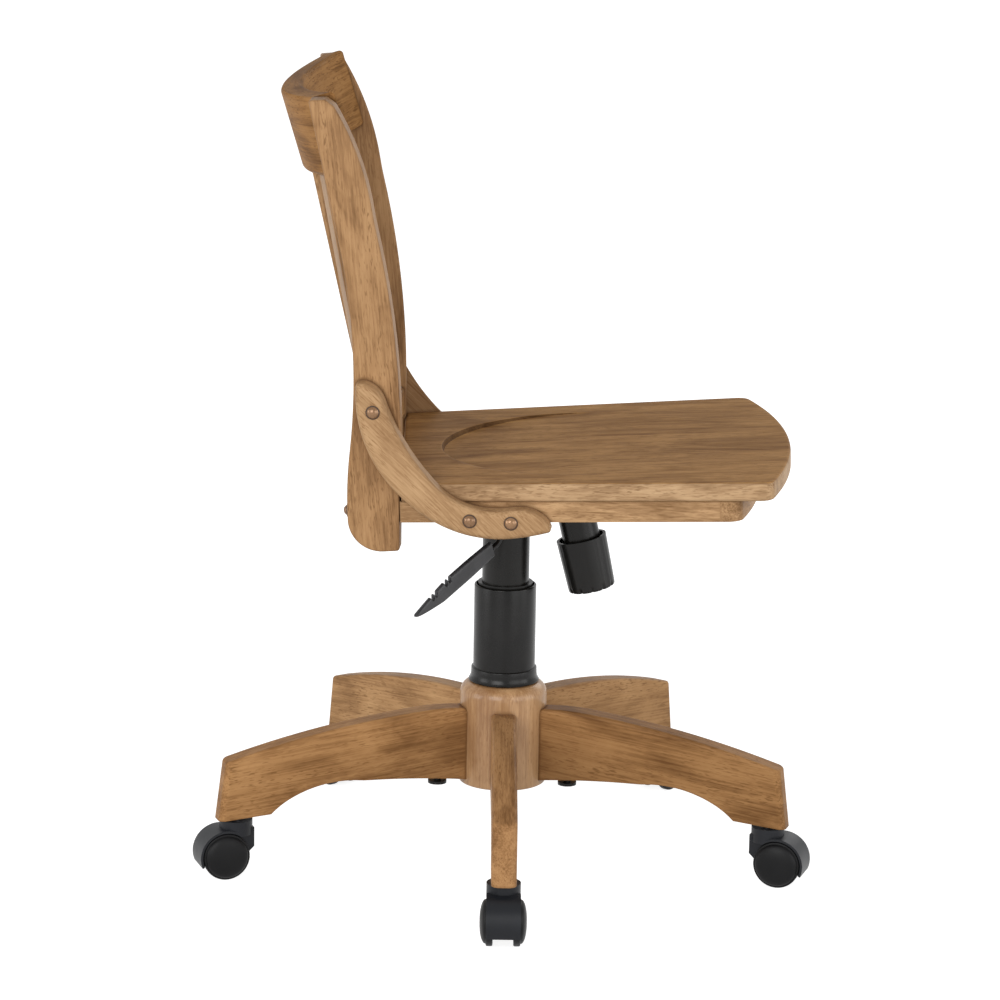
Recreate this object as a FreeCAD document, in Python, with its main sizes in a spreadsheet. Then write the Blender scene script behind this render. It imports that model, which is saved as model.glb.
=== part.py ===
import FreeCAD, Part

import math
import os

import Sketcher
from FreeCAD import Placement, Rotation, Vector

# Bankers swivel chair: wooden seat and back on a swivel-tilt mechanism, gas lift and
# five wooden legs with twin-wheel casters. Millimetres. +X is the sitter's forward,
# +Z is up, the origin lies on the column axis at the floor.

os.makedirs("parts", exist_ok=True)
doc = FreeCAD.newDocument("bankers_chair")
sheet = doc.addObject("Spreadsheet::Sheet", "Sizes")

AXIS_Y = Vector(0, 1, 0)
AXIS_Z = Vector(0, 0, 1)
AXIS_X = Vector(1, 0, 0)


class Size:
    """A length or an angle: its value and the sheet expression that gives it."""

    def __init__(self, value, text):
        self.value = float(value)
        self.text = text

    def __add__(self, other):
        other = as_size(other)
        return Size(self.value + other.value, f"({self.text} + {other.text})")

    def __sub__(self, other):
        other = as_size(other)
        return Size(self.value - other.value, f"({self.text} - {other.text})")

    def __mul__(self, other):
        other = as_size(other)
        return Size(self.value * other.value, f"({self.text} * {other.text})")

    def __truediv__(self, other):
        other = as_size(other)
        return Size(self.value / other.value, f"({self.text} / {other.text})")

    def __radd__(self, other):
        return as_size(other) + self

    def __rsub__(self, other):
        return as_size(other) - self

    def __rmul__(self, other):
        return as_size(other) * self

    def __neg__(self):
        return Size(-self.value, f"(-1 * {self.text})")

    def __float__(self):
        return self.value


def as_size(number):
    """Wrap a plain number so that it can stand in an expression."""
    return number if isinstance(number, Size) else Size(number, repr(float(number)))


def root(square):
    """Square root of a size."""
    return Size(math.sqrt(square.value), f"sqrt({square.text})")


def sine(angle):
    """Sine of an angle in degrees."""
    return Size(math.sin(math.radians(angle.value)), f"sin({angle.text} * 1 deg)")


def cosine(angle):
    """Cosine of an angle in degrees."""
    return Size(math.cos(math.radians(angle.value)), f"cos({angle.text} * 1 deg)")


def tangent_of(angle):
    """Tangent of an angle in degrees."""
    return Size(math.tan(math.radians(angle.value)), f"tan({angle.text} * 1 deg)")


sheet_rows = []


def size(alias, value):
    """Write one driving dimension into the sheet and return it."""
    row = len(sheet_rows) + 1
    sheet.set(f"A{row}", str(value))
    sheet.setAlias(f"A{row}", alias)
    sheet_rows.append(alias)
    return Size(value, f"Sizes.{alias}")


def at(x, y, z):
    """Vector from three sizes or numbers."""
    return Vector(float(x), float(y), float(z))


def shift(x, y, z):
    """Placement that only moves."""
    return Placement(at(x, y, z), Rotation())


def turn(axis, angle):
    """Placement that only turns."""
    return Placement(Vector(0, 0, 0), Rotation(axis, float(angle)))


# ---------------------------------------------------------------- driving dimensions

# Fits: wood and steel pieces of one assembly, running fits and free gaps.
seat_fit = size("seat_fit", 0.05)
run_fit = size("run_fit", 0.05)
free_gap = size("free_gap", 0.4)

# Turned hub.
hub_radius = size("hub_radius", 46.5)
hub_bottom = size("hub_bottom_height", 82)
hub_top = size("hub_top_height", 187)
hub_top_round = size("hub_top_round", 9)
hub_bottom_round = size("hub_bottom_round", 2)
hub_ledge = size("hub_ledge_thickness", 8)
hub_ledge_bore = size("hub_ledge_bore_radius", 18)

# Legs: profile along the leg, radius from the column axis against height.
leg_count = 5
leg_first_angle = size("leg_first_angle", -90)
leg_width = size("leg_width", 26)
leg_root_radius = size("leg_root_radius", 38)
leg_root_top = size("leg_root_top_height", 165.7)
leg_shoulder_radius = size("leg_shoulder_radius", 87.9)
leg_shoulder_top = size("leg_shoulder_top_height", 167.4)
leg_end_radius = size("leg_end_radius", 308.5)
leg_end_top = size("leg_end_top_height", 126.2)
leg_top_sweep = size("leg_top_sweep_radius", 1077)
leg_toe_reach = size("leg_toe_reach", 8)
leg_toe_radius = leg_end_radius + leg_toe_reach
leg_toe_bottom = size("leg_toe_bottom_height", 62.5)
leg_foot_length = size("leg_foot_length", 56)
leg_foot_radius = leg_toe_radius - leg_foot_length
leg_foot_bottom = size("leg_foot_bottom_height", 67)
leg_hollow_radius = size("leg_hollow_radius", 238.6)
leg_hollow_bottom = size("leg_hollow_bottom_height", 82.9)
leg_crown_radius = size("leg_crown_radius", 162.7)
leg_crown_bottom = size("leg_crown_bottom_height", 96.7)
leg_belly_radius = size("leg_belly_radius", 153.8)
leg_belly_bottom = size("leg_belly_bottom_height", 96.1)
leg_root_bottom = size("leg_root_bottom_height", 87.8)
leg_belly_sweep = size("leg_belly_sweep_radius", 1037)
leg_end_round = size("leg_end_round", 7.5)
leg_top_round = size("leg_top_round", 4)

# Flat-headed screws that pull the legs to the hub from below.
fixing_radius = size("fixing_pitch_radius", 73)
fixing_head_radius = size("fixing_head_radius", 10)
fixing_head_bottom = size("fixing_head_bottom", 84)
fixing_head_thickness = size("fixing_head_thickness", 3)
fixing_shank_radius = size("fixing_shank_radius", 4)
fixing_shank_top = size("fixing_shank_top", 108)

# Casters.
stem_inset = size("caster_inset", 13)
stem_pitch = leg_end_radius - stem_inset
stem_radius = size("stem_radius", 5.5)
stem_bottom = size("stem_bottom_height", 42)
stem_top = size("stem_top_height", 103)
socket_wall = size("socket_wall", 2.5)
socket_bottom = size("socket_bottom_height", 65.2)
socket_top = size("socket_top_height", 104)
wheel_radius = size("wheel_radius", 25)
wheel_trail = size("wheel_trail", 14)
wheel_inner_face = size("wheel_inner_face", 10.5)
wheel_tread_end = size("wheel_tread_end", 17.5)
wheel_outer_face = size("wheel_outer_face", 24)
wheel_edge_round = size("wheel_edge_chamfer", 1.5)
wheel_cap_radius = size("wheel_cap_radius", 9)
axle_radius = size("axle_radius", 4)
axle_half_length = size("axle_half_length", 21)
hood_gap = size("hood_gap", 1)
hood_wall = size("hood_wall", 2.5)
hood_half_width = size("hood_half_width", 17.5)
hood_low_angle = size("hood_low_angle", 22)
hood_high_angle = size("hood_high_angle", 125)
collar_radius = size("collar_radius", 17.5)
collar_top = size("collar_top_height", 61.9)
collar_bottom = size("collar_bottom_height", 46)
web_knee_height = size("web_knee_height", 33)
web_bottom = size("web_bottom_height", 11.5)
web_keel_start = size("web_keel_start", 4)
web_keel_end = size("web_keel_end", 24)

# Column.
tube_radius = size("tube_radius", 25)
tube_wall = size("tube_wall", 3)
tube_top = size("tube_top_height", 368)
tube_floor = size("tube_floor_thickness", 4)
bush_bottom = size("bush_bottom_height", 300)
cover_radius = size("cover_radius", 33)
cover_wall = size("cover_wall", 2.5)
cover_top = size("cover_top_height", 299)
cover_flare_radius = size("cover_flare_radius", 37.4)
cover_flare_height = size("cover_flare_height", 20)
cover_edge_round = size("cover_edge_round", 1.5)
ring_radius = size("cover_ring_radius", 29)
ring_rise = size("cover_ring_rise", 2.5)
rod_radius = size("gas_rod_radius", 5)
rod_top = size("gas_rod_top_height", 330)
rod_foot_radius = size("gas_rod_foot_radius", 15)
rod_foot_thickness = size("gas_rod_foot_thickness", 4)
piston_radius = size("piston_radius", 11.5)
piston_length = size("piston_length", 12)
cylinder_radius = size("gas_cylinder_radius", 14)
cylinder_bottom = size("gas_cylinder_bottom_height", 112)
cylinder_top = size("gas_cylinder_top_height", 410)
cylinder_foot = size("gas_cylinder_foot_length", 20)
cylinder_head = size("gas_cylinder_head_length", 55)
button_radius = size("button_radius", 4)
button_rise = size("button_rise", 5.5)
button_length = size("button_length", 18)
button_travel = size("button_travel", 2.5)

# Seat: rake, height and plan.
seat_height = size("seat_height", 450)
seat_rake = size("seat_rake", 2.4)
panel_thickness = size("panel_thickness", 19)
panel_half_width = size("panel_half_width", 186)
panel_taper = size("panel_taper", 5.71)
panel_rear = size("panel_rear", 111)
panel_front = size("panel_front", 297)
panel_front_sweep = size("panel_front_sweep_radius", 725)
panel_corner_round = size("panel_corner_round", 14)
panel_edge_round = size("panel_edge_round", 3)
dish_radius = size("dish_radius", 152)
dish_centre = size("dish_centre", 82)
dish_depth = size("dish_depth", 5.5)
dish_run = size("dish_run", 165)

# Aprons under the panel.
apron_height = size("apron_height", 22)
apron_thickness = size("apron_thickness", 20)
apron_inset = size("apron_inset", 4)
apron_rear_end = size("apron_rear_end", 112.5)
apron_front_inset = size("apron_front_inset", 33)
apron_front_rear = size("apron_front_rear", 150)
apron_corner_round = size("apron_corner_round", 16)

# Back posts and brackets, measured in the side plane of the seat.
side_lean = size("side_lean", 2.5)
side_offset = size("side_offset", 183.6)
post_thickness = size("post_thickness", 22)
post_edge_round = size("post_edge_round", 2.5)
side_corner_round = size("side_corner_round", 3)
bracket_thickness = size("bracket_thickness", 20)
bracket_edge_round = size("bracket_edge_round", 6)


def spot(alias, forward, height):
    """Point of the side plane, held by two sizes."""
    return size(f"{alias}_forward", forward), size(f"{alias}_height", height)


post_foot_front = spot("post_foot_front", -115.4, -71.7)
post_seat_front = spot("post_seat_front", -110.6, 36.2)
post_sweep_front = spot("post_sweep_front", -127.5, 263.2)
post_neck_front = spot("post_neck_front", -130.4, 281.5)
post_head_front = spot("post_head_front", -165.1, 389.8)
post_top_front = spot("post_top_front", -173.8, 396.9)
post_top_rear = spot("post_top_rear", -191.1, 396.5)
post_neck_rear = spot("post_neck_rear", -166.0, 251.3)
post_seat_rear = spot("post_seat_rear", -163.1, 32.8)
post_heel_rear = spot("post_heel_rear", -167.7, -39.0)
post_foot_rear = spot("post_foot_rear", -131.5, -72.5)
bracket_top_front = spot("bracket_top_front", -142.5, 109.4)
bracket_shoulder = spot("bracket_shoulder", -124.0, 90.5)
bracket_hollow_rear = spot("bracket_hollow_rear", -76.5, 4.2)
bracket_hollow_front = spot("bracket_hollow_front", 2.4, -24.2)
bracket_nose = spot("bracket_nose", 39.5, -38.6)
bracket_tip = spot("bracket_tip", 43.0, -47.0)
bracket_belly_front = spot("bracket_belly_front", 0.8, -54.3)
bracket_belly_middle = spot("bracket_belly_middle", -80.2, -34.2)
bracket_belly_rear = spot("bracket_belly_rear", -114.8, -5.2)
bracket_top_rear = spot("bracket_top_rear", -151.7, 109.5)
bracket_shoulder_sweep = size("bracket_shoulder_sweep_radius", 28.9)
bracket_belly_sweep = size("bracket_belly_sweep_radius", 239)
bracket_bolt_spots = (spot("bracket_bolt_upper", -135.0, 80.2),
                      spot("bracket_bolt_middle", -40.0, -34.1),
                      spot("bracket_bolt_front", 2.0, -36.6))

# Crest rail, lower rail and slats.
back_half_width = size("back_half_width", 150)
crest_lean = size("crest_lean", 14.5)
crest_height = size("crest_height", 84)
crest_thickness = size("crest_thickness", 24)
crest_bow = size("crest_bow", 38)
crest_top_height = size("crest_top_height", 396)
crest_rear = size("crest_rear", 190)
crest_edge_round = size("crest_edge_round", 4)
tenon_length = size("tenon_length", 10)
rail_bottom_height = size("rail_bottom_height", 2.5)
rail_height = size("rail_height", 30.5)
rail_thickness = size("rail_thickness", 30)
rail_bow = size("rail_bow", 10)
rail_front = size("rail_front", 110)
slat_thickness = size("slat_thickness", 11)
slat_width = size("slat_width", 36)
slat_pitch = size("slat_pitch", 66)
slat_tenon = size("slat_tenon", 8)
slat_top_inset = size("slat_top_inset", 8)
slat_bottom_inset = size("slat_bottom_inset", 4)
slat_edge_round = size("slat_edge_round", 2)

# Bolts of the brackets and posts, screws of the seat plate.
bolt_head_radius = size("bolt_head_radius", 7)
bolt_head_rise = size("bolt_head_rise", 3.6)
bolt_shank_radius = size("bolt_shank_radius", 3)
bolt_length = size("bolt_length", 36)
post_bolt_drop = size("post_bolt_drop", 30.5)
post_bolt_rear = size("post_bolt_rear", 168)
post_bolt_rise = size("post_bolt_rise", 4.5)
post_bolt_head_radius = size("post_bolt_head_radius", 6.5)
post_bolt_length = size("post_bolt_length", 85)
screw_head_radius = size("screw_head_radius", 5)
screw_head_rise = size("screw_head_rise", 2.5)
screw_shank_radius = size("screw_shank_radius", 2.5)
screw_length = size("screw_length", 12)

# Tilt mechanism: channel, pivot, seat plate and its crossbar.
channel_half_width = size("channel_half_width", 35)
channel_sheet = size("channel_sheet", 3)
channel_rear = size("channel_rear", -48)
channel_front = size("channel_front", 105)
channel_floor = size("channel_floor_height", 380)
channel_top = size("channel_top_height", 415)
cone_radius = size("cone_socket_radius", 19)
cone_bottom = size("cone_socket_bottom", 375)
cone_top = size("cone_socket_top", 405)
pivot_forward = size("pivot_forward", -30)
pivot_height = size("pivot_height", 403)
pivot_radius = size("pivot_radius", 5)
pivot_half_length = size("pivot_half_length", 42)
plate_sheet = size("plate_sheet", 3)
plate_half_width = size("plate_half_width", 80)
plate_rear = size("plate_rear", -75)
plate_front = size("plate_front", 115)
flange_gap = size("flange_gap", 1)
flange_half_length = size("flange_half_length", 14)
flange_drop = size("flange_drop", 9)
hanger_half_width = size("hanger_half_width", 25)
hanger_half_length = size("hanger_half_length", 20)
bar_thickness = size("bar_thickness", 5.5)
slot_half_width = size("slot_half_width", 8)
slot_length = size("slot_length", 26)

# Tension spring, bolt, washer and knob on one inclined axis.
knob_lean = size("knob_lean", 13.1)
knob_foot_forward = size("knob_foot_forward", 92.2)
knob_foot_height = size("knob_foot_height", 295.8)
knob_length = size("knob_length", 56.6)
knob_foot_radius = size("knob_foot_radius", 25)
knob_rim_radius = size("knob_rim_radius", 26.75)
knob_wall = size("knob_wall", 3)
knob_floor = size("knob_floor", 5)
knob_boss_radius = size("knob_boss_radius", 10)
knob_boss_top = size("knob_boss_top", 13)
knob_flute_radius = size("knob_flute_radius", 3)
knob_flute_depth = size("knob_flute_depth", 1.2)
knob_flute_height = size("knob_flute_height", 14)
knob_flutes = 12
spring_tube_radius = size("spring_tube_radius", 20)
spring_tube_wall = size("spring_tube_wall", 2)
spring_tube_overlap = size("spring_tube_overlap", 20)
spring_cap = size("spring_cap_thickness", 3)
spring_outer_radius = size("spring_outer_radius", 16.5)
spring_wire = size("spring_wire", 5)
tension_bolt_radius = size("tension_bolt_radius", 6)
tension_bolt_foot = size("tension_bolt_foot", 8)
tee_radius = size("tee_radius", 5)
tee_half_length = size("tee_half_length", 17)
tee_drop = size("tee_drop", 31)
tee_height = seat_height - tee_drop
tee_gap = size("tee_gap", 0.5)
washer_radius = size("washer_radius", 17)
washer_thickness = size("washer_thickness", 4)
washer_bore_gap = size("washer_bore_gap", 0.4)

# Height lever.
lever_rod_radius = size("lever_rod_radius", 3)
lever_eye_radius = size("lever_eye_radius", 5)
lever_pin_radius = size("lever_pin_radius", 2)
lever_pin_side = size("lever_pin_side", 28)
lever_ear_sheet = size("lever_ear_sheet", 3)
lever_knee_side = size("lever_knee_side", 50)
lever_root_forward = size("lever_root_forward", -16)
lever_root_side = size("lever_root_side", 60)
lever_root_height = size("lever_root_height", 351)
lever_tip_forward = size("lever_tip_forward", -95)
lever_tip_side = size("lever_tip_side", 150)
lever_tip_height = size("lever_tip_height", 300)
lever_bend = size("lever_bend_radius", 12)
paddle_width = size("paddle_width", 17)
paddle_root_width = size("paddle_root_width", 11)
paddle_thickness = size("paddle_thickness", 7)
paddle_round = size("paddle_round", 2)
paddle_slot_length = size("paddle_slot_length", 8)
paddle_slot_radius = size("paddle_slot_radius", 1.2)

doc.recompute()


# ---------------------------------------------------------------- modelling helpers

def direction(start, end):
    """Unit vector from one plane point to the next."""
    dx = end[0].value - start[0].value
    dy = end[1].value - start[1].value
    length = math.hypot(dx, dy)
    return dx / length, dy / length, length


class Outline:
    """Closed plane outline of lines and arcs, each vertex held by two sizes."""

    def __init__(self, x, y):
        self.points = [(as_size(x), as_size(y))]
        self.steps = []

    def line(self, x, y):
        """Straight run to the next vertex."""
        self.points.append((as_size(x), as_size(y)))
        self.steps.append(("line", None, None))
        return self

    def arc(self, x, y, radius, left):
        """Arc of a given radius that bends to the left or to the right."""
        self.points.append((as_size(x), as_size(y)))
        self.steps.append(("arc", as_size(radius), left))
        return self

    def smooth(self, x, y):
        """Arc that continues the run before it without a kink."""
        self.points.append((as_size(x), as_size(y)))
        self.steps.append(("smooth", None, None))
        return self

    def close(self):
        """Straight run back to the first vertex."""
        self.steps.append(("line", None, None))
        return self

    def close_arc(self, radius, left):
        """Arc back to the first vertex."""
        self.steps.append(("arc", as_size(radius), left))
        return self

    def geometry(self):
        """List of sketch curves with the end that each run starts and ends on."""
        runs = []
        heading = None
        count = len(self.steps)
        for index, (kind, radius, left) in enumerate(self.steps):
            start = self.points[index]
            end = self.points[(index + 1) % count]
            ux, uy, length = direction(start, end)
            first = at(start[0], start[1], 0)
            last = at(end[0], end[1], 0)
            if kind == "line":
                runs.append((Part.LineSegment(first, last), 1, 2))
                heading = (ux, uy)
                continue
            if kind == "arc":
                reach = radius.value
            else:
                bend = heading[0] * uy - heading[1] * ux
                left = bend > 0
                reach = length / (2 * abs(bend))
            side = 1 if left else -1
            rise = math.sqrt(max(reach * reach - length * length / 4, 0))
            centre = (first + last) * 0.5 + Vector(-uy, ux, 0) * (side * rise)
            low, high = (first, last) if left else (last, first)
            a0 = math.atan2(low.y - centre.y, low.x - centre.x)
            a1 = math.atan2(high.y - centre.y, high.x - centre.x)
            if a1 < a0:
                a1 += 2 * math.pi
            circle = Part.Circle(centre, AXIS_Z, reach)
            curve = Part.ArcOfCircle(circle, a0, a1)
            runs.append((curve, 1, 2) if left else (curve, 2, 1))
            spoke = last - centre
            spoke.normalize()
            heading = (-spoke.y * side, spoke.x * side)
        return runs


def draw(body, name, outline, plane="XZ_Plane", offset=None, tilt=None):
    """Sketch an outline on an origin plane of a body and hold it with sizes."""
    sketch = body.newObject("Sketcher::SketchObject", name)
    origin_plane = [f for f in body.Origin.OriginFeatures if f.Role == plane][0]
    sketch.AttachmentSupport = [(origin_plane, "")]
    sketch.MapMode = "FlatFace"
    if tilt is not None:
        sketch.AttachmentOffset = tilt
    if offset is not None:
        sketch.AttachmentOffset = shift(0, 0, offset)
        sketch.setExpression("AttachmentOffset.Base.z", as_size(offset).text)
    runs = outline.geometry()
    sketch.addGeometry([run[0] for run in runs], False)
    count = len(runs)
    for index in range(count):
        following = (index + 1) % count
        joint = (index, runs[index][2], following, runs[following][1])
        kind = "Tangent" if outline.steps[following][0] == "smooth" else "Coincident"
        sketch.addConstraint(Sketcher.Constraint(kind, *joint))
    for index in range(count):
        x, y = outline.points[index]
        start = runs[index][1]
        for kind, value in (("DistanceX", x), ("DistanceY", y)):
            number = sketch.addConstraint(
                Sketcher.Constraint(kind, -1, 1, index, start, value.value))
            sketch.setExpression(f"Constraints[{number}]", value.text)
        if outline.steps[index][0] == "arc":
            radius = outline.steps[index][1]
            number = sketch.addConstraint(
                Sketcher.Constraint("Radius", index, radius.value))
            sketch.setExpression(f"Constraints[{number}]", radius.text)
    return sketch


def draw_circles(body, name, circles, plane="XY_Plane", offset=None):
    """Sketch full circles, each given by its centre and radius."""
    sketch = body.newObject("Sketcher::SketchObject", name)
    origin_plane = [f for f in body.Origin.OriginFeatures if f.Role == plane][0]
    sketch.AttachmentSupport = [(origin_plane, "")]
    sketch.MapMode = "FlatFace"
    if offset is not None:
        sketch.AttachmentOffset = shift(0, 0, offset)
        sketch.setExpression("AttachmentOffset.Base.z", as_size(offset).text)
    for index, (x, y, radius) in enumerate(circles):
        x, y, radius = as_size(x), as_size(y), as_size(radius)
        sketch.addGeometry(Part.Circle(at(x, y, 0), AXIS_Z, radius.value), False)
        held = (("DistanceX", x), ("DistanceY", y))
        for kind, value in held:
            number = sketch.addConstraint(
                Sketcher.Constraint(kind, -1, 1, index, 3, value.value))
            sketch.setExpression(f"Constraints[{number}]", value.text)
        number = sketch.addConstraint(Sketcher.Constraint("Radius", index, radius.value))
        sketch.setExpression(f"Constraints[{number}]", radius.text)
    return sketch


def new_body(label, placement=None):
    """Body with its own label and place."""
    body = doc.addObject("PartDesign::Body", label)
    body.Label = label
    body.AllowCompound = True
    if placement is not None:
        body.Placement = placement
    return body


def pad(body, sketch, length, side="One side", reverse=False):
    """Raise a sketch into a solid."""
    feature = body.newObject("PartDesign::Pad", f"{sketch.Name}_pad")
    feature.Profile = sketch
    feature.SideType = side
    feature.Reversed = reverse
    feature.setExpression("Length", as_size(length).text)
    return feature


def pocket(body, sketch, length, side="One side", reverse=False):
    """Cut a sketch into the body and make sure that it removed material."""
    doc.recompute()
    before = body.Shape.Volume
    feature = body.newObject("PartDesign::Pocket", f"{sketch.Name}_pocket")
    feature.Profile = sketch
    feature.SideType = side
    feature.Reversed = reverse
    feature.setExpression("Length", as_size(length).text)
    doc.recompute()
    if body.Shape.Volume > before - 1e-3:
        raise RuntimeError(f"{sketch.Name} cuts nothing")
    return feature


def revolve(body, sketch):
    """Turn a profile once around the vertical axis of its sketch."""
    feature = body.newObject("PartDesign::Revolution", f"{sketch.Name}_turned")
    feature.Profile = sketch
    feature.ReferenceAxis = (sketch, ["V_Axis"])
    feature.Angle = 360
    return feature


def round_edges(body, name, radius, choose):
    """Fillet the edges of a body that the test picks."""
    doc.recompute()
    tip = body.Tip
    names = [f"Edge{number}" for number, edge in enumerate(tip.Shape.Edges, 1) if choose(edge)]
    if not names:
        raise RuntimeError(f"{name} finds no edge")
    feature = body.newObject("PartDesign::Fillet", name)
    feature.Base = (tip, names)
    feature.setExpression("Radius", as_size(radius).text)
    doc.recompute()
    return feature


def middle(edge):
    """Point halfway along an edge."""
    return edge.valueAt((edge.FirstParameter + edge.LastParameter) / 2)


def holds_sizes(feature, sizes):
    """Bind properties of a primitive to the sheet."""
    for name, value in sizes.items():
        feature.setExpression(name, as_size(value).text)


def box(name, low, high, placement=Placement()):
    """Block between two opposite corners."""
    block = doc.addObject("Part::Box", name)
    spans = [as_size(high[axis]) - as_size(low[axis]) for axis in range(3)]
    holds_sizes(block, {"Length": spans[0], "Width": spans[1], "Height": spans[2]})
    block.Placement = placement.multiply(shift(*low))
    return block


def drum(name, radius, length, placement=Placement()):
    """Cylinder along the local Z axis of a placement."""
    cylinder = doc.addObject("Part::Cylinder", name)
    holds_sizes(cylinder, {"Radius": radius, "Height": length})
    cylinder.Placement = placement
    return cylinder


def cross_drum(name, radius, low, high, x, z, placement=Placement()):
    """Cylinder along the local Y axis between two side positions."""
    frame = placement.multiply(shift(x, low, z)).multiply(turn(AXIS_X, -90))
    return drum(name, radius, as_size(high) - as_size(low), frame)


def fuse(name, pieces):
    """Join solids into one."""
    joined = doc.addObject("Part::MultiFuse", name)
    joined.Shapes = pieces
    joined.Label = name
    return joined


def carve(name, base, tools):
    """Cut tools out of a base, one after the other."""
    result = base
    for number, tool in enumerate(tools, 1):
        step = doc.addObject("Part::Cut", f"{name}_cut_{number}")
        step.Base = result
        step.Tool = tool
        result = step
    result.Label = name
    return result


def share(name, base, tool):
    """Keep what two solids have in common."""
    result = doc.addObject("Part::Common", name)
    result.Base = base
    result.Tool = tool
    result.Label = name
    return result


nodes = {}


def node(name, piece):
    """Enter a finished sub-part under its file name."""
    piece.Label = name
    nodes[name] = piece
    return piece


# ---------------------------------------------------------------- base

hub_shape = Outline(hub_ledge_bore, hub_bottom)
hub_shape.line(hub_radius, hub_bottom).line(hub_radius, hub_top)
tube_bore = tube_radius + seat_fit
tube_bottom = hub_bottom + hub_ledge
hub_shape.line(tube_bore, hub_top).line(tube_bore, tube_bottom)
hub_shape.line(hub_ledge_bore, tube_bottom).close()
hub = new_body("hub")
revolve(hub, draw(hub, "hub_profile", hub_shape))


def outer_rim(radius, height):
    """Test for a circular edge at one radius and height."""
    def test(edge):
        curve = edge.Curve
        if not hasattr(curve, "Radius"):
            return False
        same_radius = abs(curve.Radius - float(radius)) < 1e-3
        return same_radius and abs(middle(edge).z - float(height)) < 1e-3
    return test


round_edges(hub, "hub_top_rounding", hub_top_round, outer_rim(hub_radius, hub_top))
round_edges(hub, "hub_bottom_rounding", hub_bottom_round, outer_rim(hub_radius, hub_bottom))
node("hub", hub)

socket_bore = stem_radius + run_fit
socket_radius = socket_bore + socket_wall
leg_step = 360 / leg_count


def leg_frame(number):
    """Placement of a leg, with its profile along local X."""
    return turn(AXIS_Z, leg_first_angle.value + leg_step * number)


def build_leg(number):
    """One swept wooden leg with the bores for its socket and its fixing."""
    label = f"leg_{number + 1}"
    leg = new_body(label, leg_frame(number))
    shape = Outline(leg_root_radius, leg_root_bottom)
    shape.arc(leg_belly_radius, leg_belly_bottom, leg_belly_sweep, False)
    shape.smooth(leg_crown_radius, leg_crown_bottom)
    shape.smooth(leg_hollow_radius, leg_hollow_bottom)
    shape.smooth(leg_foot_radius, leg_foot_bottom)
    shape.line(leg_toe_radius, leg_toe_bottom)
    shape.line(leg_end_radius, leg_end_top)
    shape.arc(leg_shoulder_radius, leg_shoulder_top, leg_top_sweep, True)
    shape.smooth(leg_root_radius, leg_root_top).close()
    pad(leg, draw(leg, f"{label}_profile", shape), leg_width, "Symmetric")
    cope = draw_circles(leg, f"{label}_cope", [(0, 0, hub_radius + seat_fit)])
    pocket(leg, cope, hub_top, reverse=True)
    half = leg_width.value / 2
    root_reach = math.sqrt(hub_radius.value ** 2 - half ** 2)

    def end_edge(edge):
        point = middle(edge)
        return abs(abs(point.y) - half) < 1e-3 and abs(
            point.x - (leg_end_radius.value + leg_toe_radius.value) / 2) < 1e-2

    round_edges(leg, f"{label}_end_rounding", leg_end_round, end_edge)

    def top_edge(edge):
        point = middle(edge)
        if point.x < root_reach + 1.5 or point.z < leg_end_top.value - 1:
            return False
        straight = abs(abs(point.y) - half) < 1e-3
        tip = point.x > leg_end_radius.value - leg_end_round.value * 1.5
        flat = abs(edge.Vertexes[0].Point.z - edge.Vertexes[-1].Point.z) < 45
        return flat and (straight or tip) and edge.Length > 0.1

    round_edges(leg, f"{label}_top_rounding", leg_top_round, top_edge)

    bores = draw_circles(leg, f"{label}_socket_bore", [(stem_pitch, 0, socket_radius + seat_fit)])
    pocket(leg, bores, socket_top + seat_fit, reverse=True)
    fixing = draw_circles(
        leg, f"{label}_fixing_bore", [(fixing_radius, 0, fixing_shank_radius + seat_fit)])
    pocket(leg, fixing, fixing_shank_top + seat_fit, reverse=True)
    return node(label, leg)


for leg_number in range(leg_count):
    build_leg(leg_number)


def polar_fuse(name, make):
    """Five copies around the column as one sub-part."""
    return fuse(name, [make(number) for number in range(leg_count)])


def socket_sleeve(number):
    """Steel sleeve with a closed top that takes a caster stem."""
    place = leg_frame(number).multiply(shift(stem_pitch, 0, socket_bottom))
    outer = drum(f"socket_{number + 1}", socket_radius, socket_top - socket_bottom, place)
    depth = stem_top - socket_bottom + run_fit
    inner = drum(f"socket_bore_{number + 1}", socket_bore, depth, place)
    return carve(f"socket_sleeve_{number + 1}", outer, [inner])


node("caster_sockets", polar_fuse("caster_sockets", socket_sleeve))


def leg_fixing(number):
    """Flat-headed screw under a leg."""
    place = leg_frame(number).multiply(shift(fixing_radius, 0, fixing_head_bottom))
    head = drum(f"fixing_head_{number + 1}", fixing_head_radius, fixing_head_thickness, place)
    shank = drum(f"fixing_shank_{number + 1}", fixing_shank_radius,
                 fixing_shank_top - fixing_head_bottom, place)
    return fuse(f"fixing_{number + 1}", [head, shank])


node("leg_fixings", polar_fuse("leg_fixings", leg_fixing))

# Gas lift tube: closed foot in the hub and a guide bush at the top.
tube_inner = tube_radius - tube_wall
bush_bore = cylinder_radius + run_fit
tube_shape = Outline(0, tube_bottom).line(tube_radius, tube_bottom)
tube_shape.line(tube_radius, tube_top).line(bush_bore, tube_top)
tube_shape.line(bush_bore, bush_bottom).line(tube_inner, bush_bottom)
tube_shape.line(tube_inner, tube_bottom + tube_floor).line(0, tube_bottom + tube_floor).close()
tube = new_body("gas_lift_tube")
revolve(tube, draw(tube, "tube_profile", tube_shape))
node("gas_lift_tube", tube)

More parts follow.
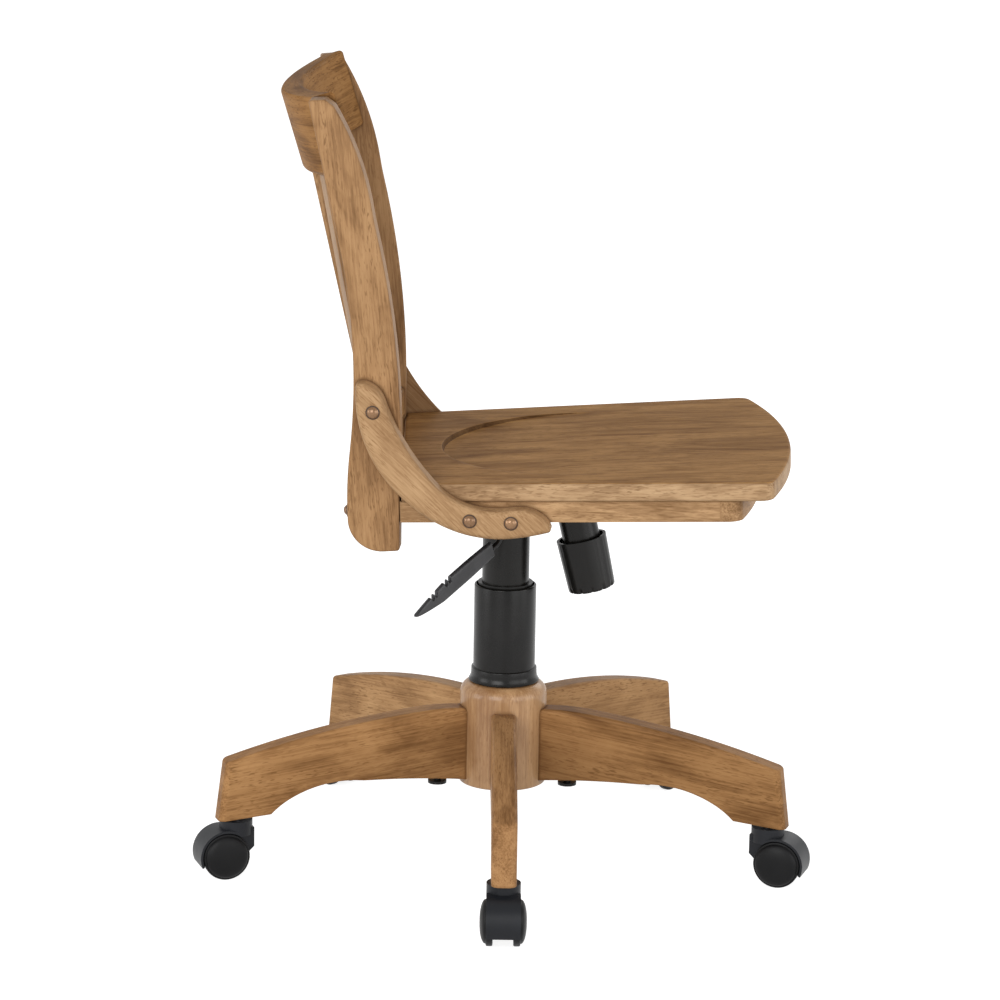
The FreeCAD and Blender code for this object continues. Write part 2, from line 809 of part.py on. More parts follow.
# Plastic covers around the foot of the tube.
cover_shape = Outline(cover_flare_radius, hub_top)
cover_shape.line(cover_flare_radius, hub_top + cover_wall)
cover_shape.arc(cover_radius, hub_top + cover_flare_height, cover_flare_height * 2.2, False)
cover_shape.line(cover_radius, cover_top).line(cover_radius - cover_wall, cover_top)
cover_shape.line(cover_radius - cover_wall, hub_top).close()
cover = new_body("column_cover_lower")
revolve(cover, draw(cover, "cover_profile", cover_shape))
round_edges(cover, "cover_rim_rounding", cover_edge_round, outer_rim(cover_radius, cover_top))
node("column_cover_lower", cover)

ring = new_body("column_cover_middle")
ring_inner = tube_radius + seat_fit * 4
ring_shape = Outline(ring_inner, hub_top).line(ring_radius, hub_top)
ring_shape.line(ring_radius, cover_top + ring_rise)
ring_shape.line(ring_inner, cover_top + ring_rise).close()
revolve(ring, draw(ring, "ring_profile", ring_shape))
node("column_cover_middle", ring)

# ---------------------------------------------------------------- gas spring

foot_bottom = tube_bottom + tube_floor + free_gap
rod_shape = Outline(0, foot_bottom).line(rod_foot_radius, foot_bottom)
rod_shape.line(rod_foot_radius, foot_bottom + rod_foot_thickness)
rod_shape.line(rod_radius, foot_bottom + rod_foot_thickness)
rod_shape.line(rod_radius, rod_top - piston_length).line(piston_radius, rod_top - piston_length)
rod_shape.line(piston_radius, rod_top).line(0, rod_top).close()
gas_rod = new_body("gas_rod")
revolve(gas_rod, draw(gas_rod, "rod_profile", rod_shape))
node("gas_rod", gas_rod)

chamber_radius = piston_radius + free_gap
chamber_bottom = cylinder_bottom + cylinder_foot
chamber_top = cylinder_top - cylinder_head
button_bore = button_radius + run_fit
button_top = cylinder_top + button_rise
button_bottom = button_top - button_length
button_pit = button_bottom - button_travel - 1
cylinder_shape = Outline(rod_radius + run_fit, cylinder_bottom)
cylinder_shape.line(cylinder_radius, cylinder_bottom).line(cylinder_radius, cylinder_top)
cylinder_shape.line(button_bore, cylinder_top).line(button_bore, button_pit)
cylinder_shape.line(0, button_pit).line(0, chamber_top).line(chamber_radius, chamber_top)
cylinder_shape.line(chamber_radius, chamber_bottom).line(rod_radius + run_fit, chamber_bottom)
cylinder_shape.close()
gas_cylinder = new_body("gas_cylinder")
revolve(gas_cylinder, draw(gas_cylinder, "cylinder_profile", cylinder_shape))
node("gas_cylinder", gas_cylinder)

button = doc.addObject("Part::Cylinder", "valve_button")
holds_sizes(button, {"Radius": button_radius, "Height": button_length})
button.Placement = shift(0, 0, button_bottom)
button.setExpression("Placement.Base.z", button_bottom.text)
node("valve_button", button)

# ---------------------------------------------------------------- frames of the seat

seat_frame = shift(0, 0, seat_height).multiply(turn(AXIS_Y, -seat_rake))
panel_bottom = -panel_thickness


def side_frame(side):
    """Placement of one side plane: X forward, Z up, outward along -Y or +Y."""
    base = seat_frame.multiply(shift(0, side_offset.value * side, 0))
    spread = turn(AXIS_Z, panel_taper.value * side)
    lean = turn(AXIS_X, -side_lean.value * side)
    return base.multiply(spread).multiply(lean)


SIDES = (("right", -1), ("left", 1))
tension_frame = shift(knob_foot_forward, 0, knob_foot_height).multiply(turn(AXIS_Y, -knob_lean))


def tension_point(height):
    """Forward position of the tension axis at one height."""
    return knob_foot_forward - (height - knob_foot_height) * tangent_of(knob_lean)


# ---------------------------------------------------------------- tilt mechanism

channel_inner = channel_half_width - channel_sheet
outer_block = box("channel_block", (channel_rear, -channel_half_width, channel_floor),
                  (channel_front, channel_half_width, channel_top))
inner_block = box(
    "channel_space",
    (channel_rear + channel_sheet, -channel_inner, channel_floor + channel_sheet),
    (channel_front - channel_sheet, channel_inner, channel_top + 1))
channel = carve("channel", outer_block, [inner_block])
cone = drum("cone_socket", cone_radius, cone_top - cone_bottom, shift(0, 0, cone_bottom))
housing_reach = (channel_floor + channel_sheet - knob_foot_height) / cosine(knob_lean)
spring_tube_bottom = knob_length - spring_tube_overlap
spring_tube = drum("spring_tube", spring_tube_radius, housing_reach - spring_tube_bottom,
                   tension_frame.multiply(shift(0, 0, spring_tube_bottom)))
lever_height = button_top + free_gap / 2 + lever_rod_radius
ear_reach = lever_eye_radius + run_fit
ear_half_width = lever_eye_radius + 1
ears = []
for ear_side, ear_name in ((-1, "rear"), (1, "front")):
    ear_low = ear_reach if ear_side > 0 else -ear_reach - lever_ear_sheet
    ears.append(box(
        f"lever_ear_{ear_name}",
        (ear_low, -channel_half_width, channel_floor + channel_sheet),
        (ear_low + lever_ear_sheet, -channel_half_width + ear_half_width * 2,
         lever_height + lever_pin_radius * 2)))
cylinder_seat = drum("cylinder_seat", cylinder_radius + seat_fit, cylinder_top - cone_bottom + 2,
                     shift(0, 0, cone_bottom - 1))
spring_space_bottom = spring_tube_bottom - 1
spring_top = housing_reach - spring_cap - spring_tube_radius * sine(knob_lean)
spring_space = drum("spring_space", spring_tube_radius - spring_tube_wall,
                    spring_top - spring_space_bottom,
                    tension_frame.multiply(shift(0, 0, spring_space_bottom)))
bolt_way = drum("bolt_way", tension_bolt_radius + 1, housing_reach + 40, tension_frame)
pivot_bore = cross_drum("pivot_bore", pivot_radius + seat_fit, -channel_half_width - 1,
                        channel_half_width + 1, pivot_forward, pivot_height)
lever_bore = drum("lever_bore", lever_pin_radius + seat_fit, ear_reach * 2 + 20,
                  shift(-ear_reach - 10, -lever_pin_side, lever_height).multiply(
                      turn(AXIS_Y, 90)))
housing_blank = fuse("housing_blank", [channel, cone, spring_tube] + ears)
node("tilt_housing", carve("tilt_housing", housing_blank,
                           [cylinder_seat, spring_space, bolt_way, pivot_bore, lever_bore]))

pivot_pin = cross_drum("pivot_pin", pivot_radius, -pivot_half_length, pivot_half_length,
                       pivot_forward, pivot_height)
lever_pin_reach = ear_reach + lever_ear_sheet
lever_pin = drum("lever_pin", lever_pin_radius, lever_pin_reach * 2,
                 shift(-lever_pin_reach, -lever_pin_side, lever_height).multiply(
                     turn(AXIS_Y, 90)))
node("mechanism_pins", fuse("mechanism_pins", [pivot_pin, lever_pin]))

washer_bottom = knob_boss_top
washer_top = washer_bottom + washer_thickness
spring_place = tension_frame.multiply(shift(0, 0, washer_top))
spring_outer = drum("spring_outer", spring_outer_radius, spring_top - washer_top, spring_place)
spring_core = drum("spring_core", spring_outer_radius - spring_wire,
                   spring_top - washer_top, spring_place)
node("tilt_spring", carve("tilt_spring", spring_outer, [spring_core]))

tee_forward = tension_point(tee_height)
bolt_reach = (tee_height - knob_foot_height) / cosine(knob_lean) - tension_bolt_foot
bolt_shank = drum("bolt_shank", tension_bolt_radius, bolt_reach,
                  tension_frame.multiply(shift(0, 0, tension_bolt_foot)))
tee_head = cross_drum("tee_head", tee_radius, -tee_half_length, tee_half_length,
                      tee_forward, tee_height)
shank_trim = box("shank_trim", (tee_forward - 20, -20, tee_height), (tee_forward + 20, 20, tee_height + 20))
trimmed_shank = carve("trimmed_shank", bolt_shank, [shank_trim])
node("tension_bolt", fuse("tension_bolt", [trimmed_shank, tee_head]))

washer_place = tension_frame.multiply(shift(0, 0, washer_bottom))
washer_disc = drum("washer_disc", washer_radius, washer_thickness, washer_place)
washer_hole = drum("washer_hole", tension_bolt_radius + washer_bore_gap, washer_thickness,
                   washer_place)
node("tension_washer", carve("tension_washer", washer_disc, [washer_hole]))

knob_bore = tension_bolt_radius + run_fit
knob_shape = Outline(knob_bore, 0).line(knob_foot_radius, 0)
knob_shape.line(knob_rim_radius, knob_length).line(knob_rim_radius - knob_wall, knob_length)
knob_shape.line(knob_foot_radius - knob_wall, knob_floor).line(knob_boss_radius, knob_floor)
knob_shape.line(knob_boss_radius, knob_boss_top).line(knob_bore, knob_boss_top).close()
knob = new_body("tension_knob_blank", tension_frame)
revolve(knob, draw(knob, "knob_profile", knob_shape))
flute_reach = knob_foot_radius + knob_flute_radius - knob_flute_depth
flutes = []
for flute_number in range(knob_flutes):
    flute_place = tension_frame.multiply(turn(AXIS_Z, 360 / knob_flutes * flute_number))
    flutes.append(drum(f"knob_flute_{flute_number + 1}", knob_flute_radius, knob_flute_height,
                       flute_place.multiply(shift(flute_reach, 0, -1))))
node("tension_knob", carve("tension_knob", knob, [fuse("knob_flutes", flutes)]))

# ---------------------------------------------------------------- height lever

lever_eye = drum("lever_eye", lever_eye_radius, lever_eye_radius * 2,
                 shift(-lever_eye_radius, -lever_pin_side, lever_height).multiply(
                     turn(AXIS_Y, 90)))
lever_eye_bore = drum("lever_eye_bore", lever_pin_radius + run_fit, lever_eye_radius * 2 + 2,
                      shift(-lever_eye_radius - 1, -lever_pin_side, lever_height).multiply(
                          turn(AXIS_Y, 90)))
lever_root = at(lever_root_forward, -lever_root_side, lever_root_height)
lever_tip = at(lever_tip_forward, -lever_tip_side, lever_tip_height)
paddle_way = (lever_tip - lever_root).normalize()
lever_path = [
    at(0, 1, lever_height),
    at(0, -lever_knee_side, lever_height),
    lever_root - paddle_way * (lever_bend.value * 1.2),
    lever_root,
]


def bent_path(points, bend):
    """Wire of straight runs joined by tangent arcs."""
    edges = []
    start = points[0]
    for index in range(1, len(points) - 1):
        corner = points[index]
        into = (corner - points[index - 1]).normalize()
        out = (points[index + 1] - corner).normalize()
        half_turn = math.acos(max(-1.0, min(1.0, into.dot(out)))) / 2
        cut_back = bend * math.tan(half_turn)
        first = corner - into * cut_back
        last = corner + out * cut_back
        bisector = (out - into).normalize()
        centre = corner + bisector * (bend / math.cos(half_turn))
        edges.append(Part.LineSegment(start, first).toShape())
        edges.append(Part.Arc(first, centre - bisector * bend, last).toShape())
        start = last
    edges.append(Part.LineSegment(start, points[-1]).toShape())
    return Part.Wire(edges)


# The rod bends in space, which no plane sketch draws.
lever_wire = bent_path(lever_path, lever_bend.value)
rod_profile = Part.Wire(Part.makeCircle(lever_rod_radius.value, lever_path[0],
                                        lever_path[1] - lever_path[0]))
lever_sweep = doc.addObject("Part::Feature", "lever_sweep")
lever_sweep.Shape = lever_wire.makePipeShell([rod_profile], True, False)
lever_joined = fuse("lever_joined", [lever_sweep, lever_eye])
node("lever_rod", carve("lever_rod", lever_joined, [lever_eye_bore]))

paddle_length = (lever_tip - lever_root).Length
paddle_up = AXIS_Z - paddle_way * AXIS_Z.dot(paddle_way)
paddle_frame = Placement(lever_root, Rotation(paddle_way, Vector(), paddle_up.normalize(), "XZY"))
paddle = new_body("lever_handle", paddle_frame)
reach_text = ("sqrt((Sizes.lever_tip_forward - Sizes.lever_root_forward)^2"
              " + (Sizes.lever_tip_side - Sizes.lever_root_side)^2"
              " + (Sizes.lever_tip_height - Sizes.lever_root_height)^2)")
paddle_reach = Size(paddle_length, reach_text)
paddle_shape = Outline(0, -paddle_root_width / 2)
paddle_shape.line(paddle_reach * 0.4, -paddle_width / 2)
paddle_shape.line(paddle_reach - paddle_width / 2, -paddle_width / 2)
paddle_shape.arc(paddle_reach, 0, paddle_width / 2, True)
paddle_shape.arc(paddle_reach - paddle_width / 2, paddle_width / 2, paddle_width / 2, True)
paddle_shape.line(paddle_reach * 0.4, paddle_width / 2)
paddle_shape.line(0, paddle_root_width / 2).close()
pad(paddle, draw(paddle, "paddle_profile", paddle_shape), paddle_thickness, "Symmetric")
paddle_half = paddle_thickness.value / 2


def paddle_edge(edge):
    """Outline edges on both flat faces, without the root end."""
    point = middle(edge)
    return abs(abs(point.y) - paddle_half) < 1e-3 and point.x > 1


round_edges(paddle, "paddle_rounding", paddle_round, paddle_edge)
slot_top = paddle_width / 2 - paddle_slot_radius * 3
for slot_number, share_of_reach in enumerate((0.62, 0.8), 1):
    slot_start = paddle_reach * share_of_reach
    slot_end = slot_start + paddle_slot_length
    slot_shape = Outline(slot_start, slot_top - paddle_slot_radius)
    slot_shape.line(slot_end, slot_top - paddle_slot_radius)
    slot_shape.arc(slot_end + paddle_slot_radius, slot_top, paddle_slot_radius, True)
    slot_shape.arc(slot_end, slot_top + paddle_slot_radius, paddle_slot_radius, True)
    slot_shape.line(slot_start, slot_top + paddle_slot_radius)
    slot_shape.arc(slot_start - paddle_slot_radius, slot_top, paddle_slot_radius, True)
    slot_shape.close_arc(paddle_slot_radius, True)
    slot_sketch = draw(paddle, f"paddle_slot_{slot_number}", slot_shape)
    pocket(paddle, slot_sketch, paddle_thickness + 2, "Symmetric")
node("lever_handle", paddle)

# ---------------------------------------------------------------- seat plate

plate_top = panel_bottom
plate_bottom = plate_top - plate_sheet
seat_inverse = seat_frame.inverse()
pivot_point = seat_inverse.multVec(at(pivot_forward, 0, pivot_height))
rake_cosine = cosine(seat_rake)
rake_sine = sine(seat_rake)


def in_seat(forward, height):
    """Seat-plane coordinates of a point given by forward position and height."""
    drop = height - seat_height
    return (forward * rake_cosine + drop * rake_sine,
            drop * rake_cosine - forward * rake_sine)


pivot_x, pivot_z = in_seat(pivot_forward, pivot_height)
tee_x, tee_z = in_seat(tee_forward, tee_height)
bar_top = tee_z - tee_radius - tee_gap
plate = box("plate_sheet_block", (plate_rear, -plate_half_width, plate_bottom),
            (plate_front, plate_half_width, plate_top), seat_frame)
flange_low = channel_half_width + flange_gap
plate_pieces = [plate]
for side_name, side in SIDES:
    low = flange_low if side > 0 else -flange_low - plate_sheet
    plate_pieces.append(box(
        f"flange_{side_name}", (pivot_x - flange_half_length, low, pivot_z - flange_drop),
        (pivot_x + flange_half_length, low + plate_sheet, plate_bottom), seat_frame))
    low = hanger_half_width - plate_sheet if side > 0 else -hanger_half_width
    plate_pieces.append(box(
        f"hanger_{side_name}", (tee_x - hanger_half_length, low, bar_top - bar_thickness),
        (tee_x + hanger_half_length, low + plate_sheet, plate_bottom), seat_frame))
plate_pieces.append(box(
    "crossbar", (tee_x - hanger_half_length, -hanger_half_width, bar_top - bar_thickness),
    (tee_x + hanger_half_length, hanger_half_width, bar_top), seat_frame))
slot_tool = box("crossbar_slot", (tee_x - slot_length / 2, -slot_half_width, bar_top - bar_thickness - 1),
                (tee_x + slot_length / 2, slot_half_width, bar_top + 1), seat_frame)
flange_bore = cross_drum("flange_bore", pivot_radius + run_fit, -flange_low - plate_sheet - 1,
                         flange_low + plate_sheet + 1, pivot_x, pivot_z, seat_frame)
screw_places = [(forward, side * (plate_half_width - 14))
                for forward in (plate_rear + 14, plate_front - 14) for side in (-1, 1)]


def screw_drums(name, radius, low, high):
    """Cylinders at the four screw places of the seat plate."""
    drums = []
    for number, (x, y) in enumerate(screw_places, 1):
        place = seat_frame.multiply(shift(x, y, low))
        drums.append(drum(f"{name}_{number}", radius, high - low, place))
    return drums


screw_top = plate_top + screw_length
screw_bores = fuse("screw_bores", screw_drums(
    "screw_bore", screw_shank_radius + seat_fit, plate_bottom - 1, screw_top + seat_fit))
plate_blank = fuse("plate_blank", plate_pieces)
node("seat_plate", carve("seat_plate", plate_blank, [slot_tool, flange_bore, screw_bores]))
screw_heads = screw_drums("screw_head", screw_head_radius, plate_bottom - screw_head_rise,
                          plate_bottom)
screw_shanks = screw_drums("screw_shank", screw_shank_radius, plate_bottom - screw_head_rise,
                           screw_top)
node("seat_screws", fuse("seat_screws", screw_heads + screw_shanks))

# ---------------------------------------------------------------- brackets and posts


def post_outline():
    """Side profile of a back post: forward position against height."""
    shape = Outline(*post_foot_front)
    shape.line(*post_seat_front)
    shape.smooth(*post_sweep_front)
    shape.smooth(*post_neck_front)
    shape.smooth(*post_head_front)
    shape.line(*post_top_front)
    shape.line(*post_top_rear)
    shape.line(*post_neck_rear)
    shape.smooth(*post_seat_rear)
    shape.smooth(*post_heel_rear)
    shape.smooth(*post_foot_rear)
    return shape.close()


def bracket_outline():
    """Side profile of the sweeping bracket between post and seat."""
    shape = Outline(*bracket_top_front)
    shape.arc(*bracket_shoulder, bracket_shoulder_sweep, False)
    shape.smooth(*bracket_hollow_rear)
    shape.smooth(*bracket_hollow_front)
    shape.smooth(*bracket_nose)
    shape.line(*bracket_tip)
    shape.arc(*bracket_belly_front, bracket_belly_sweep, False)
    shape.smooth(*bracket_belly_middle)
    shape.smooth(*bracket_belly_rear)
    shape.smooth(*bracket_top_rear)
    return shape.close()


def side_piece(label, outline, inner, outer, side, rounding, both_faces, corners):
    """Plate of one side plane between two outward distances."""
    body = new_body(label, side_frame(side))
    offset = inner if side < 0 else -inner
    sketch = draw(body, f"{label}_profile", outline, offset=offset)
    pad(body, sketch, outer - inner, reverse=side > 0)
    inner_y = inner.value * side
    outer_y = outer.value * side

    def corner_edge(edge):
        point = middle(edge)
        across = abs(edge.Vertexes[0].Point.y - edge.Vertexes[-1].Point.y) > 1
        return across and any(math.hypot(point.x - forward.value, point.z - height.value) < 0.5
                              for forward, height in corners)

    round_edges(body, f"{label}_corners", side_corner_round, corner_edge)

    def face_edge(edge):
        flat = abs(edge.Vertexes[0].Point.y - edge.Vertexes[-1].Point.y) < 1e-3
        y = middle(edge).y
        on_outer = abs(y - outer_y) < 1e-3
        on_inner = abs(y - inner_y) < 1e-3
        return flat and (on_outer or (both_faces and on_inner))

    round_edges(body, f"{label}_rounding", rounding, face_edge)
    return body


no_offset = post_thickness * 0
posts = {}
brackets = {}
for side_name, side in SIDES:
    posts[side] = side_piece(f"post_{side_name}_blank", post_outline(), -post_thickness,
                             no_offset, side, post_edge_round, True,
                             (post_top_rear, post_top_front, post_foot_front))
    brackets[side] = side_piece(f"bracket_{side_name}_blank", bracket_outline(), no_offset,
                                bracket_thickness, side, bracket_edge_round, False,
                                (bracket_tip, bracket_nose, bracket_top_front,
                                 bracket_top_rear))

# ---------------------------------------------------------------- seat panel and aprons

taper = tangent_of(panel_taper)


def panel_edge(forward, inset):
    """Half width of the seat at one forward position, drawn in by an inset."""
    return panel_half_width - inset + forward * taper


def meet_front(radius, inset):
    """Where the side line meets a front arc around the sweep centre."""
    centre = panel_front - panel_front_sweep
    width = panel_half_width - inset + centre * taper
    slope_term = taper * taper + 1
    reach = (root(slope_term * radius * radius - width * width) - width * taper) / slope_term
    forward = centre + reach
    return forward, panel_edge(forward, inset)


sweep_centre = panel_front - panel_front_sweep
corner_x, corner_y = meet_front(panel_front_sweep, 0)
panel_shape = Outline(-panel_rear, -panel_edge(-panel_rear, 0))
panel_shape.line(corner_x, -corner_y)
panel_shape.arc(corner_x, corner_y, panel_front_sweep, True)
panel_shape.line(-panel_rear, panel_edge(-panel_rear, 0)).close()
panel = new_body("seat_panel_blank", seat_frame)
pad(panel, draw(panel, "panel_plan", panel_shape, "XY_Plane", offset=panel_bottom),
    panel_thickness)


def front_corner(edge):
    """Upright edges at the two front corners."""
    point = middle(edge)
    upright = abs(edge.Vertexes[0].Point.z - edge.Vertexes[-1].Point.z) > 1
    return upright and abs(point.x - corner_x.value) < 1e-2


round_edges(panel, "panel_corner_rounding", panel_corner_round, front_corner)


def panel_rim(edge):
    """Edges around the top and the bottom face."""
    z = middle(edge).z
    level = abs(edge.Vertexes[0].Point.z - edge.Vertexes[-1].Point.z) < 1e-3
    return level and (abs(z) < 1e-3 or abs(z - panel_bottom.value) < 1e-3)


round_edges(panel, "panel_edge_rounding", panel_edge_round, panel_rim)
dish_slope = math.degrees(math.atan2(dish_depth.value, dish_run.value))
dish_sketch = draw_circles(panel, "dish_plan", [(dish_centre, 0, dish_radius)])
dish_rear = dish_centre - dish_radius
dish_floor = Placement(at(dish_rear, 0, -dish_depth), Rotation(AXIS_Y, -dish_slope)).multiply(
    shift(-dish_rear, 0, 0))
dish_sketch.AttachmentOffset = dish_floor
pocket(panel, dish_sketch, dish_depth * 4, reverse=True)

apron_bottom = panel_bottom - apron_height
arc_inner = panel_front_sweep - apron_front_inset - apron_thickness
arc_outer = panel_front_sweep - apron_front_inset
arc_place = seat_frame.multiply(shift(sweep_centre, 0, apron_bottom))
inner_cylinder = drum("apron_inner_sweep", arc_inner, apron_height, arc_place)
front_reach = panel_front + 20

aprons = {}
for side_name, side in SIDES:
    blank = new_body(f"apron_{side_name}_blank", seat_frame)
    inner_inset = apron_inset + apron_thickness
    outline = Outline(-apron_rear_end, panel_edge(-apron_rear_end, apron_inset) * side)
    outline.line(front_reach, panel_edge(front_reach, apron_inset) * side)
    outline.line(front_reach, panel_edge(front_reach, inner_inset) * side)
    outline.line(-apron_rear_end, panel_edge(-apron_rear_end, inner_inset) * side).close()
    pad(blank, draw(blank, f"apron_{side_name}_plan", outline, "XY_Plane", offset=apron_bottom),
        apron_height)
    aprons[side] = share(f"apron_{side_name}_swept", blank, inner_cylinder)

apron_corner_x, apron_corner_y = meet_front(arc_outer, apron_inset)
front_blank = new_body("apron_front_blank", seat_frame)
outline = Outline(apron_front_rear, -panel_edge(apron_front_rear, apron_inset))
outline.line(apron_corner_x, -apron_corner_y)
outline.arc(apron_corner_x, apron_corner_y, arc_outer, True)
outline.line(apron_front_rear, panel_edge(apron_front_rear, apron_inset)).close()
pad(front_blank, draw(front_blank, "apron_front_plan", outline, "XY_Plane", offset=apron_bottom),
    apron_height)


def apron_corner(edge):
    """Upright edges at the two front corners of the apron."""
    upright = abs(edge.Vertexes[0].Point.z - edge.Vertexes[-1].Point.z) > 1
    return upright and abs(middle(edge).x - apron_corner_x.value) < 1e-2


round_edges(front_blank, "apron_corner_rounding", apron_corner_round, apron_corner)
node("apron_front", carve("apron_front", front_blank, [inner_cylinder]))

rear_apron = new_body("apron_rear_blank", seat_frame)
rear_inset = apron_inset + apron_thickness
rear_front = apron_thickness - apron_rear_end
outline = Outline(-apron_rear_end, -panel_edge(-apron_rear_end, rear_inset))
outline.line(rear_front, -panel_edge(rear_front, rear_inset))
outline.line(rear_front, panel_edge(rear_front, rear_inset))
outline.line(-apron_rear_end, panel_edge(-apron_rear_end, rear_inset)).close()
pad(rear_apron, draw(rear_apron, "apron_rear_plan", outline, "XY_Plane", offset=apron_bottom),
    apron_height)
node("apron_rear", carve("apron_rear", rear_apron, [posts[-1], posts[1]]))

# ---------------------------------------------------------------- crest, rail and slats


def bowed_plan(rear, thickness, bow, half):
    """Plan of a bowed rail whose ends stand at the rear position."""
    sweep = (half * half + bow * bow) / (bow * 2)
    front = rear + thickness
    shape = Outline(rear, -half)
    shape.line(front, -half)
    shape.arc(front, half, sweep, False)
    shape.line(rear, half)
    shape.close_arc(sweep, True)
    return shape


crest_frame = seat_frame.multiply(shift(-crest_rear, 0, crest_top_height)).multiply(
    turn(AXIS_Y, -crest_lean))
crest_half = back_half_width + tenon_length
crest = new_body("crest_rail_blank", crest_frame)
crest_plan = bowed_plan(no_offset, crest_thickness, crest_bow, crest_half)
pad(crest, draw(crest, "crest_plan", crest_plan, "XY_Plane", offset=-crest_height), crest_height)


def long_edge(edge):
    """Bowed edges of a rail, top and bottom, front and rear."""
    return edge.Length > back_half_width.value * 1.5


round_edges(crest, "crest_rounding", crest_edge_round, long_edge)

rail = new_body("lower_rail_blank", seat_frame)
rail_rear = -rail_front - rail_thickness
rail_plan = bowed_plan(rail_rear, rail_thickness, rail_bow, back_half_width + tenon_length)
pad(rail, draw(rail, "rail_plan", rail_plan, "XY_Plane", offset=rail_bottom_height), rail_height)
round_edges(rail, "rail_rounding", slat_edge_round, long_edge)

crest_low = seat_inverse.multiply(crest_frame).multVec(at(0, 0, -crest_height))


def bow_at(bow, half, side_way):
    """How far a bowed rail stands back at one side position."""
    return bow.value * (1 - (side_way / half.value) ** 2)


slats = []
for slat_number in range(4):
    side_way = slat_pitch.value * (slat_number - 1.5)
    swing = math.degrees(math.atan(
        (crest_bow.value + rail_bow.value) * side_way / crest_half.value ** 2))
    top_rear = crest_low.x - bow_at(crest_bow, crest_half, side_way) * math.cos(
        math.radians(crest_lean.value)) + slat_top_inset.value
    top_height = crest_low.z - bow_at(crest_bow, crest_half, side_way) * math.sin(
        math.radians(crest_lean.value))
    low_rear = rail_rear.value - bow_at(rail_bow, crest_half, side_way) + slat_bottom_inset.value
    low_height = rail_bottom_height.value + rail_height.value
    low = at(low_rear, side_way, low_height)
    rise = math.hypot(top_rear - low_rear, top_height - low_height)
    lean = math.degrees(math.atan2(low_rear - top_rear, top_height - low_height))
    slat_frame = seat_frame.multiply(Placement(low, Rotation(AXIS_Y, -lean))).multiply(
        turn(AXIS_Z, -swing))
    slat = new_body(f"slat_{slat_number + 1}", slat_frame)
    half = slat_width / 2
    shape = Outline(0, -half).line(slat_thickness, -half)
    shape.line(slat_thickness, half).line(0, half).close()
    sketch = draw(slat, f"slat_plan_{slat_number + 1}", shape, "XY_Plane", offset=-slat_tenon)
    pad(slat, sketch, slat_tenon * 2 + rise)

    def upright(edge):
        return edge.Length > 100

    round_edges(slat, f"slat_rounding_{slat_number + 1}", slat_edge_round, upright)
    node(f"slat_{slat_number + 1}", slat)
    slats.append(slat)

node("crest_rail", carve("crest_rail", crest, slats))
node("lower_rail", carve("lower_rail", rail, slats))

# ---------------------------------------------------------------- bolts of the frame


def bolt_frame(side, forward, height):
    """Placement of a bracket bolt: local Z runs inward from the bracket face."""
    start = side_frame(side).multiply(shift(forward, bracket_thickness.value * side, height))
    return start.multiply(turn(AXIS_X, 90 * side))


def domed_head(name, radius, rise, placement):
    """Round-topped head whose flat side stands at the start of the shank."""
    ball_radius = (radius * radius + rise * rise) / (rise * 2)
    ball = doc.addObject("Part::Sphere", f"{name}_ball")
    holds_sizes(ball, {"Radius": ball_radius})
    ball.Placement = placement.multiply(shift(0, 0, ball_radius - rise))
    disc = drum(f"{name}_disc", radius + 1, rise, placement.multiply(shift(0, 0, -rise)))
    return share(name, ball, disc)


bolt_pieces = []
bolt_bores = {-1: [], 1: []}
post_bores = {-1: [], 1: []}
bolt_count = 0
for side_name, side in SIDES:
    for forward, height in bracket_bolt_spots:
        bolt_count += 1
        place = bolt_frame(side, forward, height)
        bolt_pieces.append(domed_head(f"bolt_head_{bolt_count}", bolt_head_radius,
                                      bolt_head_rise, place))
        bolt_pieces.append(drum(f"bolt_shank_{bolt_count}", bolt_shank_radius, bolt_length, place))
        bolt_bores[side].append(drum(f"bolt_bore_{bolt_count}", bolt_shank_radius + seat_fit,
                                     bolt_length + seat_fit, place))
    bolt_count += 1
    rear_face = side_frame(side).multiply(
        shift(-post_bolt_rear, -post_thickness / 2 * side, -post_bolt_drop))
    place = rear_face.multiply(turn(AXIS_Y, 90))
    bolt_pieces.append(domed_head(f"post_bolt_head_{bolt_count}", post_bolt_head_radius,
                                  post_bolt_rise, place))
    bolt_pieces.append(drum(f"post_bolt_shank_{bolt_count}", bolt_shank_radius,
                            post_bolt_length, place))
    post_bores[side].append(drum(f"post_bolt_bore_{bolt_count}", bolt_shank_radius + seat_fit,
                                 post_bolt_length + seat_fit, place))
node("frame_bolts", fuse("frame_bolts", bolt_pieces))

notches = []
for side_name, side in SIDES:
    bores = fuse(f"side_bores_{side_name}", bolt_bores[side] + post_bores[side])
    node(f"post_{side_name}", carve(f"post_{side_name}", posts[side], [crest, rail, bores]))
    node(f"bracket_{side_name}", carve(f"bracket_{side_name}", brackets[side], [bores]))
    node(f"apron_{side_name}", carve(f"apron_{side_name}", aprons[side],
                                     [brackets[side], posts[side], bores]))
    notches += [brackets[side], posts[side]]
node("seat_panel", carve("seat_panel", panel, notches + [screw_bores]))

# ---------------------------------------------------------------- casters

wheel_x = wheel_trail
wheel_z = wheel_radius
hood_inner = wheel_radius + hood_gap
hood_outer = hood_inner + hood_wall
web_half = wheel_inner_face - free_gap


def polar(radius, angle):
    """Point at an angle around the wheel axis."""
    return wheel_x + radius * cosine(angle), wheel_z + radius * sine(angle)


def caster_frame(number):
    """Placement of a caster: stem axis at the origin, wheels trailing outward."""
    return leg_frame(number).multiply(shift(stem_pitch, 0, 0))


